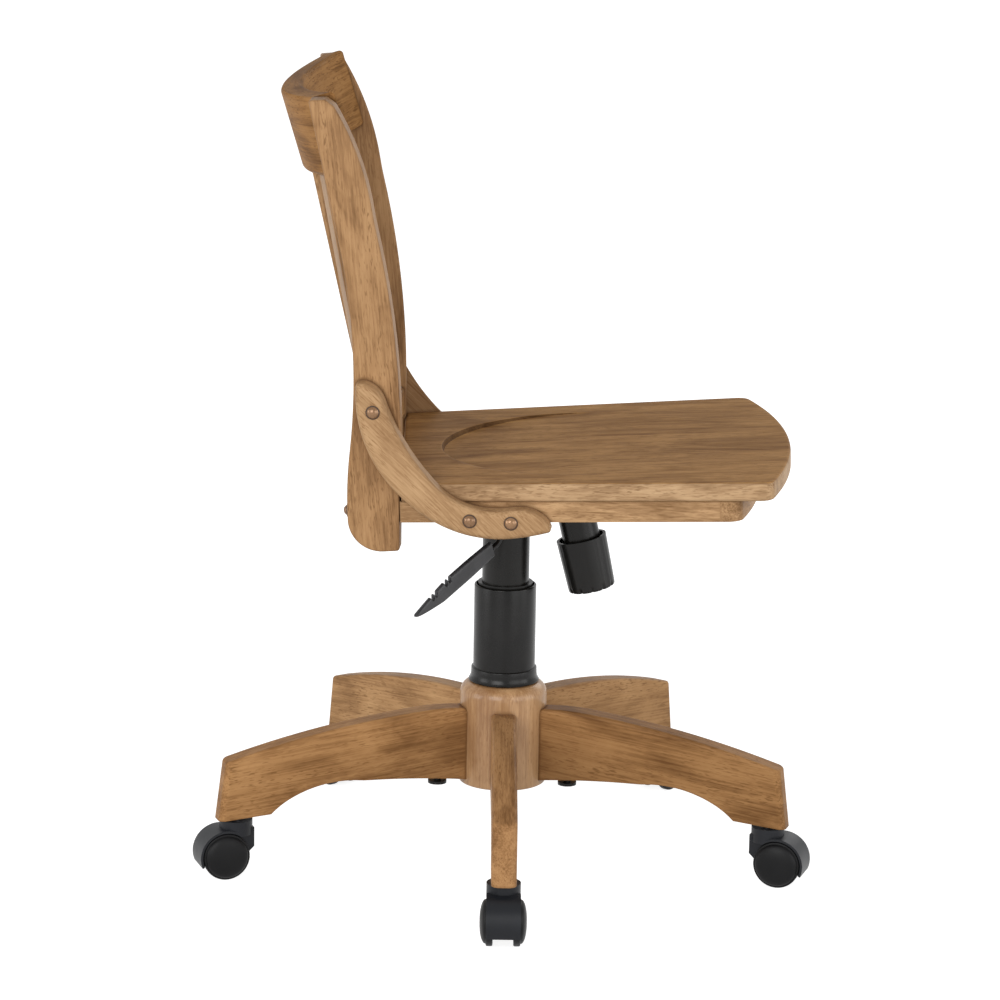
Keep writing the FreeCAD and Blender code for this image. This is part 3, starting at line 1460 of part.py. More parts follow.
def build_caster(number):
    """Hooded fork, stem and axle, and two wheels."""
    tag = number + 1
    frame = caster_frame(number)
    low = -hood_low_angle
    web = new_body(f"fork_web_{tag}", frame)
    toe = polar(hood_outer, low)
    crown = (wheel_x, wheel_z + hood_outer)
    shape = Outline(-collar_radius, wheel_z + hood_outer)
    shape.line(-collar_radius, web_knee_height)
    shape.line(web_keel_start, web_bottom)
    shape.line(web_keel_end, web_bottom)
    shape.line(*toe)
    shape.arc(*crown, hood_outer, True).close()
    pad(web, draw(web, f"web_profile_{tag}", shape), web_half * 2, "Symmetric")
    hood = new_body(f"fork_hood_{tag}", frame)
    start_out = polar(hood_outer, low)
    end_out = polar(hood_outer, hood_high_angle)
    end_in = polar(hood_inner, hood_high_angle)
    start_in = polar(hood_inner, low)
    shape = Outline(*start_out)
    shape.arc(*end_out, hood_outer, True).line(*end_in)
    shape.arc(*start_in, hood_inner, False).close()
    pad(hood, draw(hood, f"hood_profile_{tag}", shape), hood_half_width * 2, "Symmetric")
    collar = drum(f"fork_collar_{tag}", collar_radius, collar_top - collar_bottom,
                  frame.multiply(shift(0, 0, collar_bottom)))
    blank = fuse(f"fork_blank_{tag}", [web, hood, collar])
    near_space = cross_drum(f"wheel_space_near_{tag}", hood_inner, -hood_half_width - 20,
                            -web_half, wheel_x, wheel_z, frame)
    far_space = cross_drum(f"wheel_space_far_{tag}", hood_inner, web_half,
                           hood_half_width + 20, wheel_x, wheel_z, frame)
    stem_bore = drum(f"stem_bore_{tag}", stem_radius + seat_fit, collar_top - stem_bottom + 1,
                     frame.multiply(shift(0, 0, stem_bottom - seat_fit)))
    axle_bore = cross_drum(f"axle_bore_{tag}", axle_radius + seat_fit, -web_half - 1,
                           web_half + 1, wheel_x, wheel_z, frame)
    node(f"fork_{tag}", carve(f"fork_{tag}", blank, [near_space, far_space, stem_bore, axle_bore]))
    stem = drum(f"stem_{tag}", stem_radius, stem_top - stem_bottom,
                frame.multiply(shift(0, 0, stem_bottom)))
    axle = cross_drum(f"axle_{tag}", axle_radius, -axle_half_length, axle_half_length,
                      wheel_x, wheel_z, frame)
    node(f"pins_{tag}", fuse(f"pins_{tag}", [stem, axle]))
    bore = axle_radius + run_fit
    blind = axle_half_length + free_gap
    for side_name, side in SIDES:
        label = f"wheel_{side_name}_{tag}"
        place = frame.multiply(shift(wheel_x, 0, wheel_z)).multiply(turn(AXIS_X, -90 * side))
        wheel = new_body(label, place)
        dome_start = wheel_tread_end
        shape = Outline(bore, wheel_inner_face)
        shape.line(wheel_radius - wheel_edge_round, wheel_inner_face)
        shape.line(wheel_radius, wheel_inner_face + wheel_edge_round)
        shape.line(wheel_radius, dome_start - wheel_edge_round)
        shape.line(wheel_radius - wheel_edge_round, dome_start)
        dome_reach = wheel_radius - wheel_edge_round - wheel_cap_radius
        shape.arc(wheel_cap_radius, wheel_outer_face, dome_reach * 1.6, True)
        shape.line(0, wheel_outer_face).line(0, blind).line(bore, blind).close()
        revolve(wheel, draw(wheel, f"{label}_profile", shape))
        node(label, wheel)


for caster_number in range(leg_count):
    build_caster(caster_number)

# ---------------------------------------------------------------- check and write

doc.recompute()
faults = [f"{item.Label}: {item.State}" for item in doc.Objects
          if "Invalid" in item.State or "Error" in item.State]
for name, piece in nodes.items():
    shape = piece.Shape
    if shape.isNull() or not shape.isValid() or not shape.Solids:
        faults.append(f"{name}: no valid solid")
if faults:
    raise RuntimeError("; ".join(faults))
for name, piece in nodes.items():
    piece.Shape.exportStep(f"parts/{name}.step")
    print(f"{name}: {len(piece.Shape.Solids)} solid(s), {piece.Shape.Volume / 1000:.1f} cm3")
print(f"{len(nodes)} sub-parts, {len(sheet_rows)} sizes")
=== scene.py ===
"""Studio scene of the wooden swivel chair: finishes and refined surfaces on the fixed frame."""

import logging
import math
from dataclasses import dataclass
from enum import Enum
from functools import cache

import bmesh
import bpy
import numpy as np
from bpy.types import Material, Node, NodeSocket, NodeTree, Object
from mathutils import Matrix, Vector


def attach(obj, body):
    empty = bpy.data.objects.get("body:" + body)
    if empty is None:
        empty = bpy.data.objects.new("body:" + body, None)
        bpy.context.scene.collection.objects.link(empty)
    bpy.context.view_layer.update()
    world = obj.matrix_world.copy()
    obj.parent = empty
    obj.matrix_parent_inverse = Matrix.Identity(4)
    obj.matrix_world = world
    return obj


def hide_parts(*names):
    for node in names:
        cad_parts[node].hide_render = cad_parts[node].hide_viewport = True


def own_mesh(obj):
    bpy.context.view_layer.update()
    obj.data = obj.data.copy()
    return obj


logging.basicConfig(level=logging.INFO, format="%(message)s")
LOG = logging.getLogger("chair")

Colour = tuple[float, float, float]
Point = tuple[float, float, float]
Array = np.ndarray
MM = 0.001
WIRE_SIDES = 16
SEAT_HEIGHT = 450 * MM
SEAT_RAKE = 2.4


# Mesh building


def grid_faces(rows: int, columns: int, closed: bool = False) -> Array:
    """Quads between neighbouring points of a grid whose rows are closed rings.

    Args:
        rows: Number of rings.
        columns: Number of points in each ring.
        closed: Whether the last ring meets the first.

    Returns:
        Array of four point numbers per quad.
    """
    row, column = np.meshgrid(np.arange(rows if closed else rows - 1), np.arange(columns),
                              indexing="ij")
    next_row = (row + 1) % rows
    next_column = (column + 1) % columns
    quads = np.stack([row * columns + column, row * columns + next_column,
                      next_row * columns + next_column, next_row * columns + column], axis=-1)
    return quads.reshape(-1, 4)


def mesh_object(name: str, points: Array, faces: list[Array], sharp_angle: float = 35.0
                ) -> Object:
    """Make an object from whole arrays, with smooth shading up to an angle.

    Args:
        name: Object name.
        points: Points as an array of three columns, in metres.
        faces: Face arrays, each with a fixed number of corners.
        sharp_angle: Angle in degrees from which an edge stays sharp.

    Returns:
        The new object, linked to the scene, at the origin.
    """
    mesh = bpy.data.meshes.new(name)
    every_face = [face for group in faces for face in group.tolist()]
    mesh.from_pydata(points.tolist(), [], every_face)
    mesh.validate()
    mesh.polygons.foreach_set("use_smooth", np.ones(len(mesh.polygons), dtype=bool))
    mesh.set_sharp_from_angle(angle=math.radians(sharp_angle))
    mesh.update()
    piece = bpy.data.objects.new(name, mesh)
    bpy.context.scene.collection.objects.link(piece)
    return piece


def face_outward(piece: Object) -> None:
    """Turn a closed mesh right side out if its signed volume is negative."""
    mesh = piece.data
    mesh.calc_loop_triangles()
    corners = np.empty(len(mesh.loop_triangles) * 3, dtype=np.int32)
    mesh.loop_triangles.foreach_get("vertices", corners)
    places = np.empty(len(mesh.vertices) * 3)
    mesh.vertices.foreach_get("co", places)
    a, b, c = (places.reshape(-1, 3)[row] for row in corners.reshape(-1, 3).T)
    if np.einsum("ij,ij->i", a, np.cross(b, c)).sum() < 0:
        mesh.flip_normals()


def merge_doubles(piece: Object, distance: float = 1e-6) -> None:
    """Merge points that lie on each other, such as those at a pole."""
    work = bmesh.new()
    work.from_mesh(piece.data)
    bmesh.ops.remove_doubles(work, verts=work.verts, dist=distance)
    bmesh.ops.dissolve_degenerate(work, edges=work.edges, dist=distance)
    work.to_mesh(piece.data)
    work.free()


def transform(points: Array, place: Matrix) -> Array:
    """Carry points from a local frame into the chair's frame."""
    matrix = np.array(place)
    return points @ matrix[:3, :3].T + matrix[:3, 3]


def turn(degrees: float, axis: str) -> Matrix:
    """Rotation about an axis."""
    return Matrix.Rotation(math.radians(degrees), 4, axis)


def seat_frame() -> Matrix:
    """Raked frame of the seat's top face."""
    return Matrix.Translation((0, 0, SEAT_HEIGHT)) @ turn(-SEAT_RAKE, "Y")


def around(count: int) -> Array:
    """Angles of even steps once around."""
    return np.linspace(0, 2 * math.pi, count, endpoint=False)


def rounded(centre: tuple[float, float], radius: float, start: float, end: float,
            count: int = 6) -> Array:
    """Arc of a profile about a centre, from one angle to another in degrees."""
    angle = np.radians(np.linspace(start, end, count))
    return np.stack([centre[0] + radius * np.cos(angle), centre[1] + radius * np.sin(angle)],
                    axis=1)


def lathe(name: str, profile: Array, places: list[Matrix], segments: int,
          sharp_angle: float = 35.0, wave: Array | float = 1.0) -> Object:
    """Turn a profile about local Z at each place: x = r cos a, y = r sin a, z = height.

    Args:
        name: Object name.
        profile: Rows of radius and height in metres, from pole to pole or round a ring.
        places: Local frames of the axes.
        segments: Number of steps around.
        sharp_angle: Angle in degrees from which an edge stays sharp.
        wave: Radius factor per profile row and segment, or 1 for a round piece.

    Returns:
        The closed turned piece or pieces, as one object.
    """
    angle = around(segments)
    radius = np.repeat(profile[:, :1], segments, axis=1) * wave
    height = np.repeat(profile[:, 1:], segments, axis=1)
    local = np.stack([radius * np.cos(angle), radius * np.sin(angle), height], axis=-1)
    local = local.reshape(-1, 3)
    quads = grid_faces(len(profile), segments, closed=bool(profile[0, 0] > 0))
    piece = mesh_object(name, np.concatenate([transform(local, place) for place in places]),
                        [quads + number * len(local) for number in range(len(places))],
                        sharp_angle)
    merge_doubles(piece)
    face_outward(piece)
    return piece


def skin(name: str, rings: Array, place: Matrix, sharp_angle: float = 35.0) -> Object:
    """Closed skin over rings of points, with a flat face at each end.

    Args:
        name: Object name.
        rings: Points in the local frame, by ring, place in the ring and coordinate.
        place: Local frame.
        sharp_angle: Angle in degrees from which an edge stays sharp.

    Returns:
        The new object.
    """
    rows, sides = rings.shape[:2]
    ring = np.arange(sides)[None, :]
    piece = mesh_object(name, transform(rings.reshape(-1, 3), place),
                        [grid_faces(rows, sides), ring[:, ::-1], ring + (rows - 1) * sides],
                        sharp_angle)
    face_outward(piece)
    return piece


def sweep(name: str, path: Array, radius: float, place: Matrix) -> Object:
    """Round wire along a path: each ring is path + r (n cos a + b sin a).

    Args:
        name: Object name.
        path: Points of the centre line in the local frame.
        radius: Wire radius.
        place: Local frame.

    Returns:
        The wire with flat closed ends.
    """
    along = np.gradient(path, axis=0)
    along /= np.linalg.norm(along, axis=1)[:, None]
    outward = path * np.array([1.0, 1.0, 0.0])
    outward -= along * np.einsum("ij,ij->i", outward, along)[:, None]
    outward /= np.linalg.norm(outward, axis=1)[:, None]
    across = np.cross(along, outward)
    angle = around(WIRE_SIDES)[None, :, None]
    rings = path[:, None, :] + radius * (outward[:, None, :] * np.cos(angle)
                                         + across[:, None, :] * np.sin(angle))
    return skin(name, rings, place)


# Materials


class Nodes:
    """Short hand for building a node tree."""

    def __init__(self, tree: NodeTree) -> None:
        """Keep the tree that nodes are added to."""
        self.tree = tree

    def fill(self, node: Node, inputs: dict[str | int, object]) -> None:
        """Feed inputs of a node: a socket is linked, a number, vector or colour is set."""
        for name, value in inputs.items():
            target = node.inputs[name]
            if isinstance(value, NodeSocket):
                self.tree.links.new(value, target)
            else:
                target.default_value = (*value, 1.0) if target.type == "RGBA" else value

    def add(self, kind: str, inputs: dict[str | int, object] | None = None,
            **settings: object) -> Node:
        """Add a node, set its properties and feed its inputs."""
        node = self.tree.nodes.new(kind)
        for name, value in settings.items():
            setattr(node, name, value)
        self.fill(node, inputs or {})
        return node

    def math(self, operation: str, *terms: object) -> NodeSocket:
        """Result of a math node on sockets or numbers."""
        return self.add("ShaderNodeMath", dict(enumerate(terms)), operation=operation).outputs[0]

    def noise(self, vector: NodeSocket, scale: float, detail: float, roughness: float = 0.55,
              distortion: float = 0.0) -> NodeSocket:
        """Noise value on a vector."""
        node = self.add("ShaderNodeTexNoise", {
            "Vector": vector, "Scale": scale, "Detail": detail, "Roughness": roughness,
            "Distortion": distortion})
        return node.outputs["Fac"]

    def span(self, value: NodeSocket, low: float, high: float, to_low: float = 0.0,
             to_high: float = 1.0) -> NodeSocket:
        """Map a value range to another, clamped."""
        node = self.add("ShaderNodeMapRange", {
            "Value": value, "From Min": low, "From Max": high, "To Min": to_low,
            "To Max": to_high})
        return node.outputs["Result"]

    def mix(self, factor: object, first: object, second: object) -> NodeSocket:
        """Mix two colours by a factor."""
        node = self.add("ShaderNodeMix", {0: factor, 6: first, 7: second}, data_type="RGBA")
        return node.outputs[2]

    def closeness(self, distance: float, inside: bool) -> NodeSocket:
        """How near another face stands: in corners, or inside the solid along its edges."""
        node = self.add("ShaderNodeAmbientOcclusion", {"Distance": distance}, inside=inside,
                        only_local=inside, samples=8)
        return self.math("SUBTRACT", 1.0, node.outputs["AO"])

    def unrolled(self, vector: NodeSocket, arc: "Arc") -> NodeSocket:
        """Vector unrolled along an arc: X is its length, Y the distance from its centre."""
        local = self.add("ShaderNodeMapping", {
            "Vector": vector, "Location": arc.centre,
            "Rotation": (0.0, math.radians(-arc.lean), 0.0)}, vector_type="TEXTURE")
        x, y, z = self.add("ShaderNodeSeparateXYZ", {0: local.outputs["Vector"]}).outputs
        ahead = self.math("MULTIPLY", x, -1.0)
        angle = self.math("ARCTAN2", y, ahead)
        reach = self.math("POWER", self.math("ADD", self.math("POWER", ahead, 2.0),
                                             self.math("POWER", y, 2.0)), 0.5)
        length = self.math("MULTIPLY", angle, arc.radius)
        return self.add("ShaderNodeCombineXYZ", {"X": length, "Y": reach, "Z": z}).outputs[0]

    def stretched(self, vector: NodeSocket, scale: Point, rotation: Point = (0.0, 0.0, 0.0),
                  location: Point = (0.0, 0.0, 0.0)) -> NodeSocket:
        """Vector moved, turned and stretched."""
        node = self.add("ShaderNodeMapping", {
            "Vector": vector, "Scale": scale, "Rotation": rotation, "Location": location})
        return node.outputs["Vector"]

    def bump(self, height: NodeSocket, strength: float, distance: float) -> NodeSocket:
        """Normal bent by a height in units of a distance."""
        node = self.add("ShaderNodeBump", {
            "Height": height, "Strength": strength, "Distance": distance})
        return node.outputs["Normal"]

    def seen(self) -> NodeSocket:
        """One for rays that show the surround, nothing for those that light the chair."""
        ray = self.add("ShaderNodeLightPath").outputs
        seen = self.math("MAXIMUM", ray["Is Camera Ray"], ray["Is Glossy Ray"])
        return self.math("MAXIMUM", seen, ray["Is Transmission Ray"])


def new_group(name: str, inputs: dict[str, str], outputs: dict[str, str]
              ) -> tuple[Nodes, Node, Node]:
    """Empty node group.

    Args:
        name: Group name.
        inputs: Inputs, each with its kind: Vector, Color or Float.
        outputs: Outputs with their kinds.

    Returns:
        The group's node helper, its input node and its output node.
    """
    tree = bpy.data.node_groups.new(name, "ShaderNodeTree")
    for way, sockets in (("INPUT", inputs), ("OUTPUT", outputs)):
        for socket, kind in sockets.items():
            tree.interface.new_socket(socket, in_out=way, socket_type=f"NodeSocket{kind}")
    nodes = Nodes(tree)
    return nodes, nodes.add("NodeGroupInput"), nodes.add("NodeGroupOutput")


class Grain(Enum):
    """Noises of the grain: stretch along and across it per metre, detail, roughness, warp."""

    PATCH = ((9.0, 26.0, 26.0), 4.0, 0.58, 0.8)
    BAND = ((2.2, 90.0, 90.0), 3.0, 0.6, 0.5)
    FIBRE = ((11.0, 480.0, 480.0), 2.0, 0.6, 0.2)
    PORE = ((105.0, 680.0, 680.0), 1.0, 0.5, 0.3)
    CROWD = ((6.0, 60.0, 60.0), 2.0, 0.55, 0.0)
    WEAR = ((9.0, 16.0, 16.0), 3.0, 0.55, 0.0)


@cache
def wood_grain_group() -> NodeTree:
    """Stained wood with its grain along the group's X axis.

    Broad patches, bands and fibres set the figure, and short open pores crowd in places.
    The edge mask brings the dark glaze that is left along edges, and the shade mask paints shade
    into corners where other faces stand near.

    Returns:
        The node group with vector, colours and masks in and colour, roughness, height out.
    """
    n, start, end = new_group(
        "wood_grain",
        {"Vector": "Vector", "Light": "Color", "Middle": "Color", "Dark": "Color",
         "Edge": "Float", "Painted Shade": "Float"},
        {"Colour": "Color", "Roughness": "Float", "Height": "Float"})
    vector, light, middle, dark, edge, shade_mask = list(start.outputs)[:6]
    patch, band, fibre, pore, crowd, wear = (
        n.noise(n.stretched(vector, grain.value[0]), 1.0, *grain.value[1:]) for grain in Grain)
    pores = n.math("MULTIPLY", n.span(pore, 0.56, 0.68), n.span(crowd, 0.36, 0.60, 0.30, 1.0))
    figure = n.math("ADD", n.math("MULTIPLY", patch, 0.52), n.math("MULTIPLY", band, 0.22))
    figure = n.math("ADD", figure, n.math("MULTIPLY", fibre, 0.32))
    base = n.mix(n.span(figure, 0.38, 0.55), dark, middle)
    base = n.mix(n.span(figure, 0.53, 0.71), base, light)
    base = n.mix(n.math("MULTIPLY", pores, 0.70), base, dark)
    edge_glaze = n.math("MULTIPLY", n.span(edge, 0.10, 0.55),
                        n.span(wear, 0.30, 0.62, 0.25, 0.85))
    base = n.mix(edge_glaze, base, n.mix(0.40, dark, middle))
    # Painted shade: darker towards a near-black brown in corners, near other faces.
    painted_corner_shade = n.math("MULTIPLY", n.span(shade_mask, 0.10, 0.48), 0.90)
    base = n.mix(painted_corner_shade, base, n.mix(0.25, dark, (0.02, 0.009, 0.004)))
    n.fill(end, {"Colour": base,
                 "Roughness": n.math("ADD", n.math("MULTIPLY", fibre, 0.16), 0.38),
                 "Height": n.math("SUBTRACT", n.math("MULTIPLY", fibre, 0.30), pores)})
    return n.tree


@cache
def fine_texture_group() -> NodeTree:
    """Moulded or sprayed skin: mask of a soft mottling and height of a fine texture."""
    n, start, end = new_group("fine_texture", {"Vector": "Vector"},
                              {"Mask": "Float", "Height": "Float"})
    vector = start.outputs["Vector"]
    n.fill(end, {"Mask": n.noise(vector, 26.0, 3.0), "Height": n.noise(vector, 1500.0, 2.0)})
    return n.tree


def new_material(name: str) -> tuple[Material, Nodes, Node]:
    """New material with its node helper and its Principled shader node."""
    material = bpy.data.materials.new(name)
    material.use_nodes = True
    material.node_tree.nodes.clear()
    nodes = Nodes(material.node_tree)
    shader = nodes.add("ShaderNodeBsdfPrincipled")
    nodes.add("ShaderNodeOutputMaterial", {"Surface": shader.outputs["BSDF"]})
    return material, nodes, shader


@dataclass(frozen=True)
class Arc:
    """Plan arc that the grain of a bowed rail follows; the rail leans back by degrees."""

    centre: Point
    lean: float
    radius: float


class Way(Enum):
    """Direction of the grain in a piece."""

    FORWARD = (1.0, 0.0, 0.0)
    ACROSS = (0.0, 1.0, 0.0)
    UP = (0.0, 0.0, 1.0)


@dataclass(frozen=True)
class WoodFinish:
    """Stained and lacquered wood with its grain along one direction.

    Args:
        name: Material name.
        direction: Grain direction in the chair's frame.
        shift: Offset of the pattern, so that two pieces differ.
        middle: Main colour.
        shine: Specular level of the lacquer.
        coat: Weight of the clear coat.
        dark: Share of the main colour that the darkest grain keeps.
        arc: Arc that the grain follows, or None for straight grain.
    """

    name: str
    direction: Point
    shift: Point = (0.0, 0.0, 0.0)
    middle: Colour = (0.310, 0.163, 0.064)
    shine: float = 0.05
    coat: float = 0.0
    dark: float = 0.46
    arc: Arc | None = None

    def tone(self, factor: float, warmth: float) -> Colour:
        """Main colour made lighter or darker, with green and blue moved by the warmth."""
        red, green, blue = self.middle
        return (red * factor, green * factor * warmth, blue * factor * warmth * warmth)

    def rotation(self) -> Point:
        """Euler angles that carry the grain direction onto X."""
        onto_x = Vector(self.direction).rotation_difference(Vector((1.0, 0.0, 0.0)))
        return tuple(onto_x.to_euler())

    @cache
    def material(self) -> Material:
        """Build the material once."""
        material, n, shader = new_material(self.name)
        place = n.add("ShaderNodeTexCoord").outputs["Object"]
        vector = (n.unrolled(place, self.arc) if self.arc
                  else n.stretched(place, (1.0, 1.0, 1.0), self.rotation(), self.shift))
        grain = n.add("ShaderNodeGroup", {
            "Vector": vector, "Light": self.tone(1.32, 1.06), "Middle": self.middle,
            "Dark": self.tone(self.dark, 0.88), "Edge": n.closeness(3.5 * MM, True),
            # Ambient occlusion within 6 mm feeds the painted shade in corners.
            "Painted Shade": n.closeness(6 * MM, False)}, node_tree=wood_grain_group()).outputs
        n.fill(shader, {
            "Base Color": grain["Colour"], "Roughness": grain["Roughness"],
            "Normal": n.bump(grain["Height"], 0.14, 0.5 * MM),
            "Specular IOR Level": self.shine, "Coat Weight": self.coat, "Coat Roughness": 0.16})
        return material


@dataclass(frozen=True)
class PlasticFinish:
    """Moulded plastic or sprayed metal with a fine skin.

    Args:
        name: Material name.
        colour: Main colour.
        worn: Colour of rubbed places.
        roughness: Main roughness.
        shine: Specular level.
        metallic: Metallic value of the shader.
        texture: Height of the moulded texture in metres.
    """

    name: str
    colour: Colour
    worn: Colour
    roughness: float
    shine: float
    metallic: float = 0.0
    texture: float = 0.04 * MM

    @cache
    def material(self) -> Material:
        """Build the material once."""
        material, n, shader = new_material(self.name)
        place = n.add("ShaderNodeTexCoord").outputs["Object"]
        coat = n.add("ShaderNodeGroup", {"Vector": place},
                     node_tree=fine_texture_group()).outputs
        mask = n.span(coat["Mask"], 0.35, 0.7)
        n.fill(shader, {
            "Base Color": n.mix(mask, self.colour, self.worn),
            "Roughness": n.math("ADD", n.math("MULTIPLY", mask, 0.10), self.roughness - 0.05),
            "Normal": n.bump(coat["Height"], 0.25, self.texture),
            "Metallic": self.metallic, "Specular IOR Level": self.shine})
        return material


SPRAYED = 0.02 * MM
POLISHED = 0.01 * MM
SATIN_BLACK = PlasticFinish("satin_black_plastic", (0.0055, 0.0050, 0.0043),
                            (0.0085, 0.0078, 0.0070), 0.33, 0.21)
LEVER_BLACK = PlasticFinish("lever_black_plastic", (0.017, 0.017, 0.018),
                            (0.040, 0.040, 0.043), 0.34, 0.30)
COVER_BLACK = PlasticFinish("cover_black_plastic", (0.0042, 0.0039, 0.0035),
                            (0.0065, 0.006, 0.0055), 0.27, 0.21)
WHEEL_BLACK = PlasticFinish("wheel_black_plastic", (0.0045, 0.0045, 0.0048),
                            (0.007, 0.007, 0.0075), 0.46, 0.14)
FORK_BLACK = PlasticFinish("fork_black_plastic", (0.0085, 0.0093, 0.0115),
                           (0.013, 0.014, 0.017), 0.42, 0.20)
BLACK_STEEL = PlasticFinish("black_painted_steel", (0.0060, 0.0054, 0.0044),
                            (0.010, 0.009, 0.008), 0.30, 0.20, 0.0, SPRAYED)
BRIGHT_STEEL = PlasticFinish("zinc_steel", (0.36, 0.36, 0.37), (0.30, 0.30, 0.31), 0.28, 0.5,
                             1.0, POLISHED)
SPRING_STEEL = PlasticFinish("oiled_spring_steel", (0.20, 0.20, 0.21), (0.14, 0.14, 0.14), 0.3,
                             0.5, 1.0, POLISHED)
BRONZE = PlasticFinish("antique_bronze", (0.27, 0.145, 0.066), (0.15, 0.075, 0.032), 0.24, 0.5,
                       0.35, POLISHED)
# Near-black bronze of the washers: painted shade, a dark ring round each bolt head.
BRONZE_RIM_PAINTED_SHADE = PlasticFinish("bronze_rim_painted_shade", (0.050, 0.026, 0.013), (0.030, 0.015, 0.007), 0.40,
                           0.4, 0.20, POLISHED)


def dress(finish: WoodFinish | PlasticFinish, *nodes: str) -> None:
    """Give carried-over nodes their finish."""
    material = finish.material()
    for node in nodes:
        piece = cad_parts[node]
        if not piece.material_slots:
            piece.data.materials.append(material)
        for slot in piece.material_slots:
            slot.material = material


def settle(piece: Object, body: str, slot: str, finish: WoodFinish | PlasticFinish,
           *replaced: str) -> None:
    """Dress a new piece, let it ride and hide the nodes it replaces.

    Args:
        piece: The new object.
        body: Body that it moves with.
        slot: Not used.
        finish: Finish to use.
        replaced: Nodes that it stands for.
    """
    piece.data.materials.clear()
    piece.data.materials.append(finish.material())
    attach(piece, body)
    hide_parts(*replaced)
    LOG.info("%s rides on %s", piece.name, body)


# Sub-assemblies


@dataclass
class WheeledBase:
    """Hub, five swept legs and their casters."""

    legs: int = 5
    leg_fall: float = 0.12
    stem_pitch: float = 295.5 * MM
    trail: float = 14 * MM
    wheel_radius: float = 25 * MM
    wheel_edge: float = 1.5 * MM
    face_step: float = 0.7 * MM
    inner_face: float = 10.5 * MM
    tread_end: float = 17.5 * MM
    outer_face: float = 24 * MM
    bore: float = 4.05 * MM
    blind: float = 21.4 * MM
    hub_radius: float = 46.5 * MM
    hub_bottom: float = 82 * MM
    hub_top: float = 193.3 * MM
    hub_shoulder: float = 14 * MM
    hub_foot: float = 2 * MM
    hub_bore: float = 30 * MM
    hub_tone: Colour = (0.385, 0.220, 0.104)
    # Painted light: the legs share one wood, made lighter at the far legs and darker at the near
    # right leg as the light falls on them.
    painted_light_leg_tones: tuple[Colour, ...] = (
        (0.340, 0.178, 0.074), (0.300, 0.153, 0.059), (0.370, 0.202, 0.086),
        (0.400, 0.224, 0.100), (0.345, 0.178, 0.070))

    def hub(self) -> None:
        """Turned hub with a round shoulder."""
        low = rounded((self.hub_radius - self.hub_foot, self.hub_bottom + self.hub_foot),
                      self.hub_foot, -90, 0, 5)
        high = rounded((self.hub_radius - self.hub_shoulder, self.hub_top - self.hub_shoulder),
                       self.hub_shoulder, 0, 90, 16)
        barrel = np.stack([np.full(24, self.hub_radius),
                           np.linspace(low[-1, 1], high[0, 1], 26)[1:-1]], axis=1)
        bore = [[self.hub_bore, self.hub_top], [self.hub_bore, self.hub_bottom]]
        turned = lathe("hub_turned", np.concatenate([low, barrel, high, bore]),
                       [Matrix.Identity(4)], 144)
        settle(turned, "base", "wood_frame",
               WoodFinish("hub_wood", Way.UP.value, (0.3, 0.1, 0.0), self.hub_tone, shine=0.22,
                          coat=0.35, dark=0.66), "hub")

    def build(self) -> None:
        """Build the hub and the wheels and dress the legs and the fixings."""
        self.hub()
        dress(BRIGHT_STEEL, "caster_sockets")
        dress(BLACK_STEEL, "leg_fixings")
        for number in range(self.legs):
            tag = number + 1
            angle = 360 / self.legs * number - 90
            way = (math.cos(math.radians(angle)), math.sin(math.radians(angle)),
                   -self.leg_fall)
            # Each leg's tone paints the light and shade that falls on it.
            dress(WoodFinish(f"leg_wood_painted_light_{tag}", way, (0.17 * number, 0.31, 0.05),
                             self.painted_light_leg_tones[number], shine=0.06), f"leg_{tag}")
            self.caster(tag, angle)

    def wheel_profile(self) -> Array:
        """Half section of a wheel: its outer face rises as (1 - r^2.4)^0.5."""
        edge = self.wheel_edge
        shoulder = self.wheel_radius - edge
        inner_edge = rounded((shoulder, self.inner_face + edge), edge, -90, 0, 7)
        outer_edge = rounded((shoulder, self.tread_end - edge), edge, 0, 90, 7)
        reach = np.linspace(1.0, 0.0, 28)
        rise = self.tread_end + (self.outer_face - self.tread_end) * np.sqrt(1 - reach ** 2.4)
        dome = np.stack([(shoulder - self.face_step) * reach, rise], axis=1)
        bore = [[0.0, self.blind], [self.bore, self.blind], [self.bore, self.inner_face]]
        return np.concatenate([bore, inner_edge, outer_edge, dome])

    def caster(self, tag: int, angle: float) -> None:
        """Fork, pins and the two wheels of one caster."""
        dress(FORK_BLACK, f"fork_{tag}")
        dress(BRIGHT_STEEL, f"pins_{tag}")
        place = turn(angle, "Z") @ Matrix.Translation(
            (self.stem_pitch + self.trail, 0, self.wheel_radius))
        for side, sign in (("left", 1), ("right", -1)):
            wheel = lathe(f"wheel_face_{side}_{tag}", self.wheel_profile(),
                          [place @ turn(-90 * sign, "X")], 72)
            settle(wheel, f"wheel_{side}_{tag}", "wheel_plastic", WHEEL_BLACK,
                   f"wheel_{side}_{tag}")


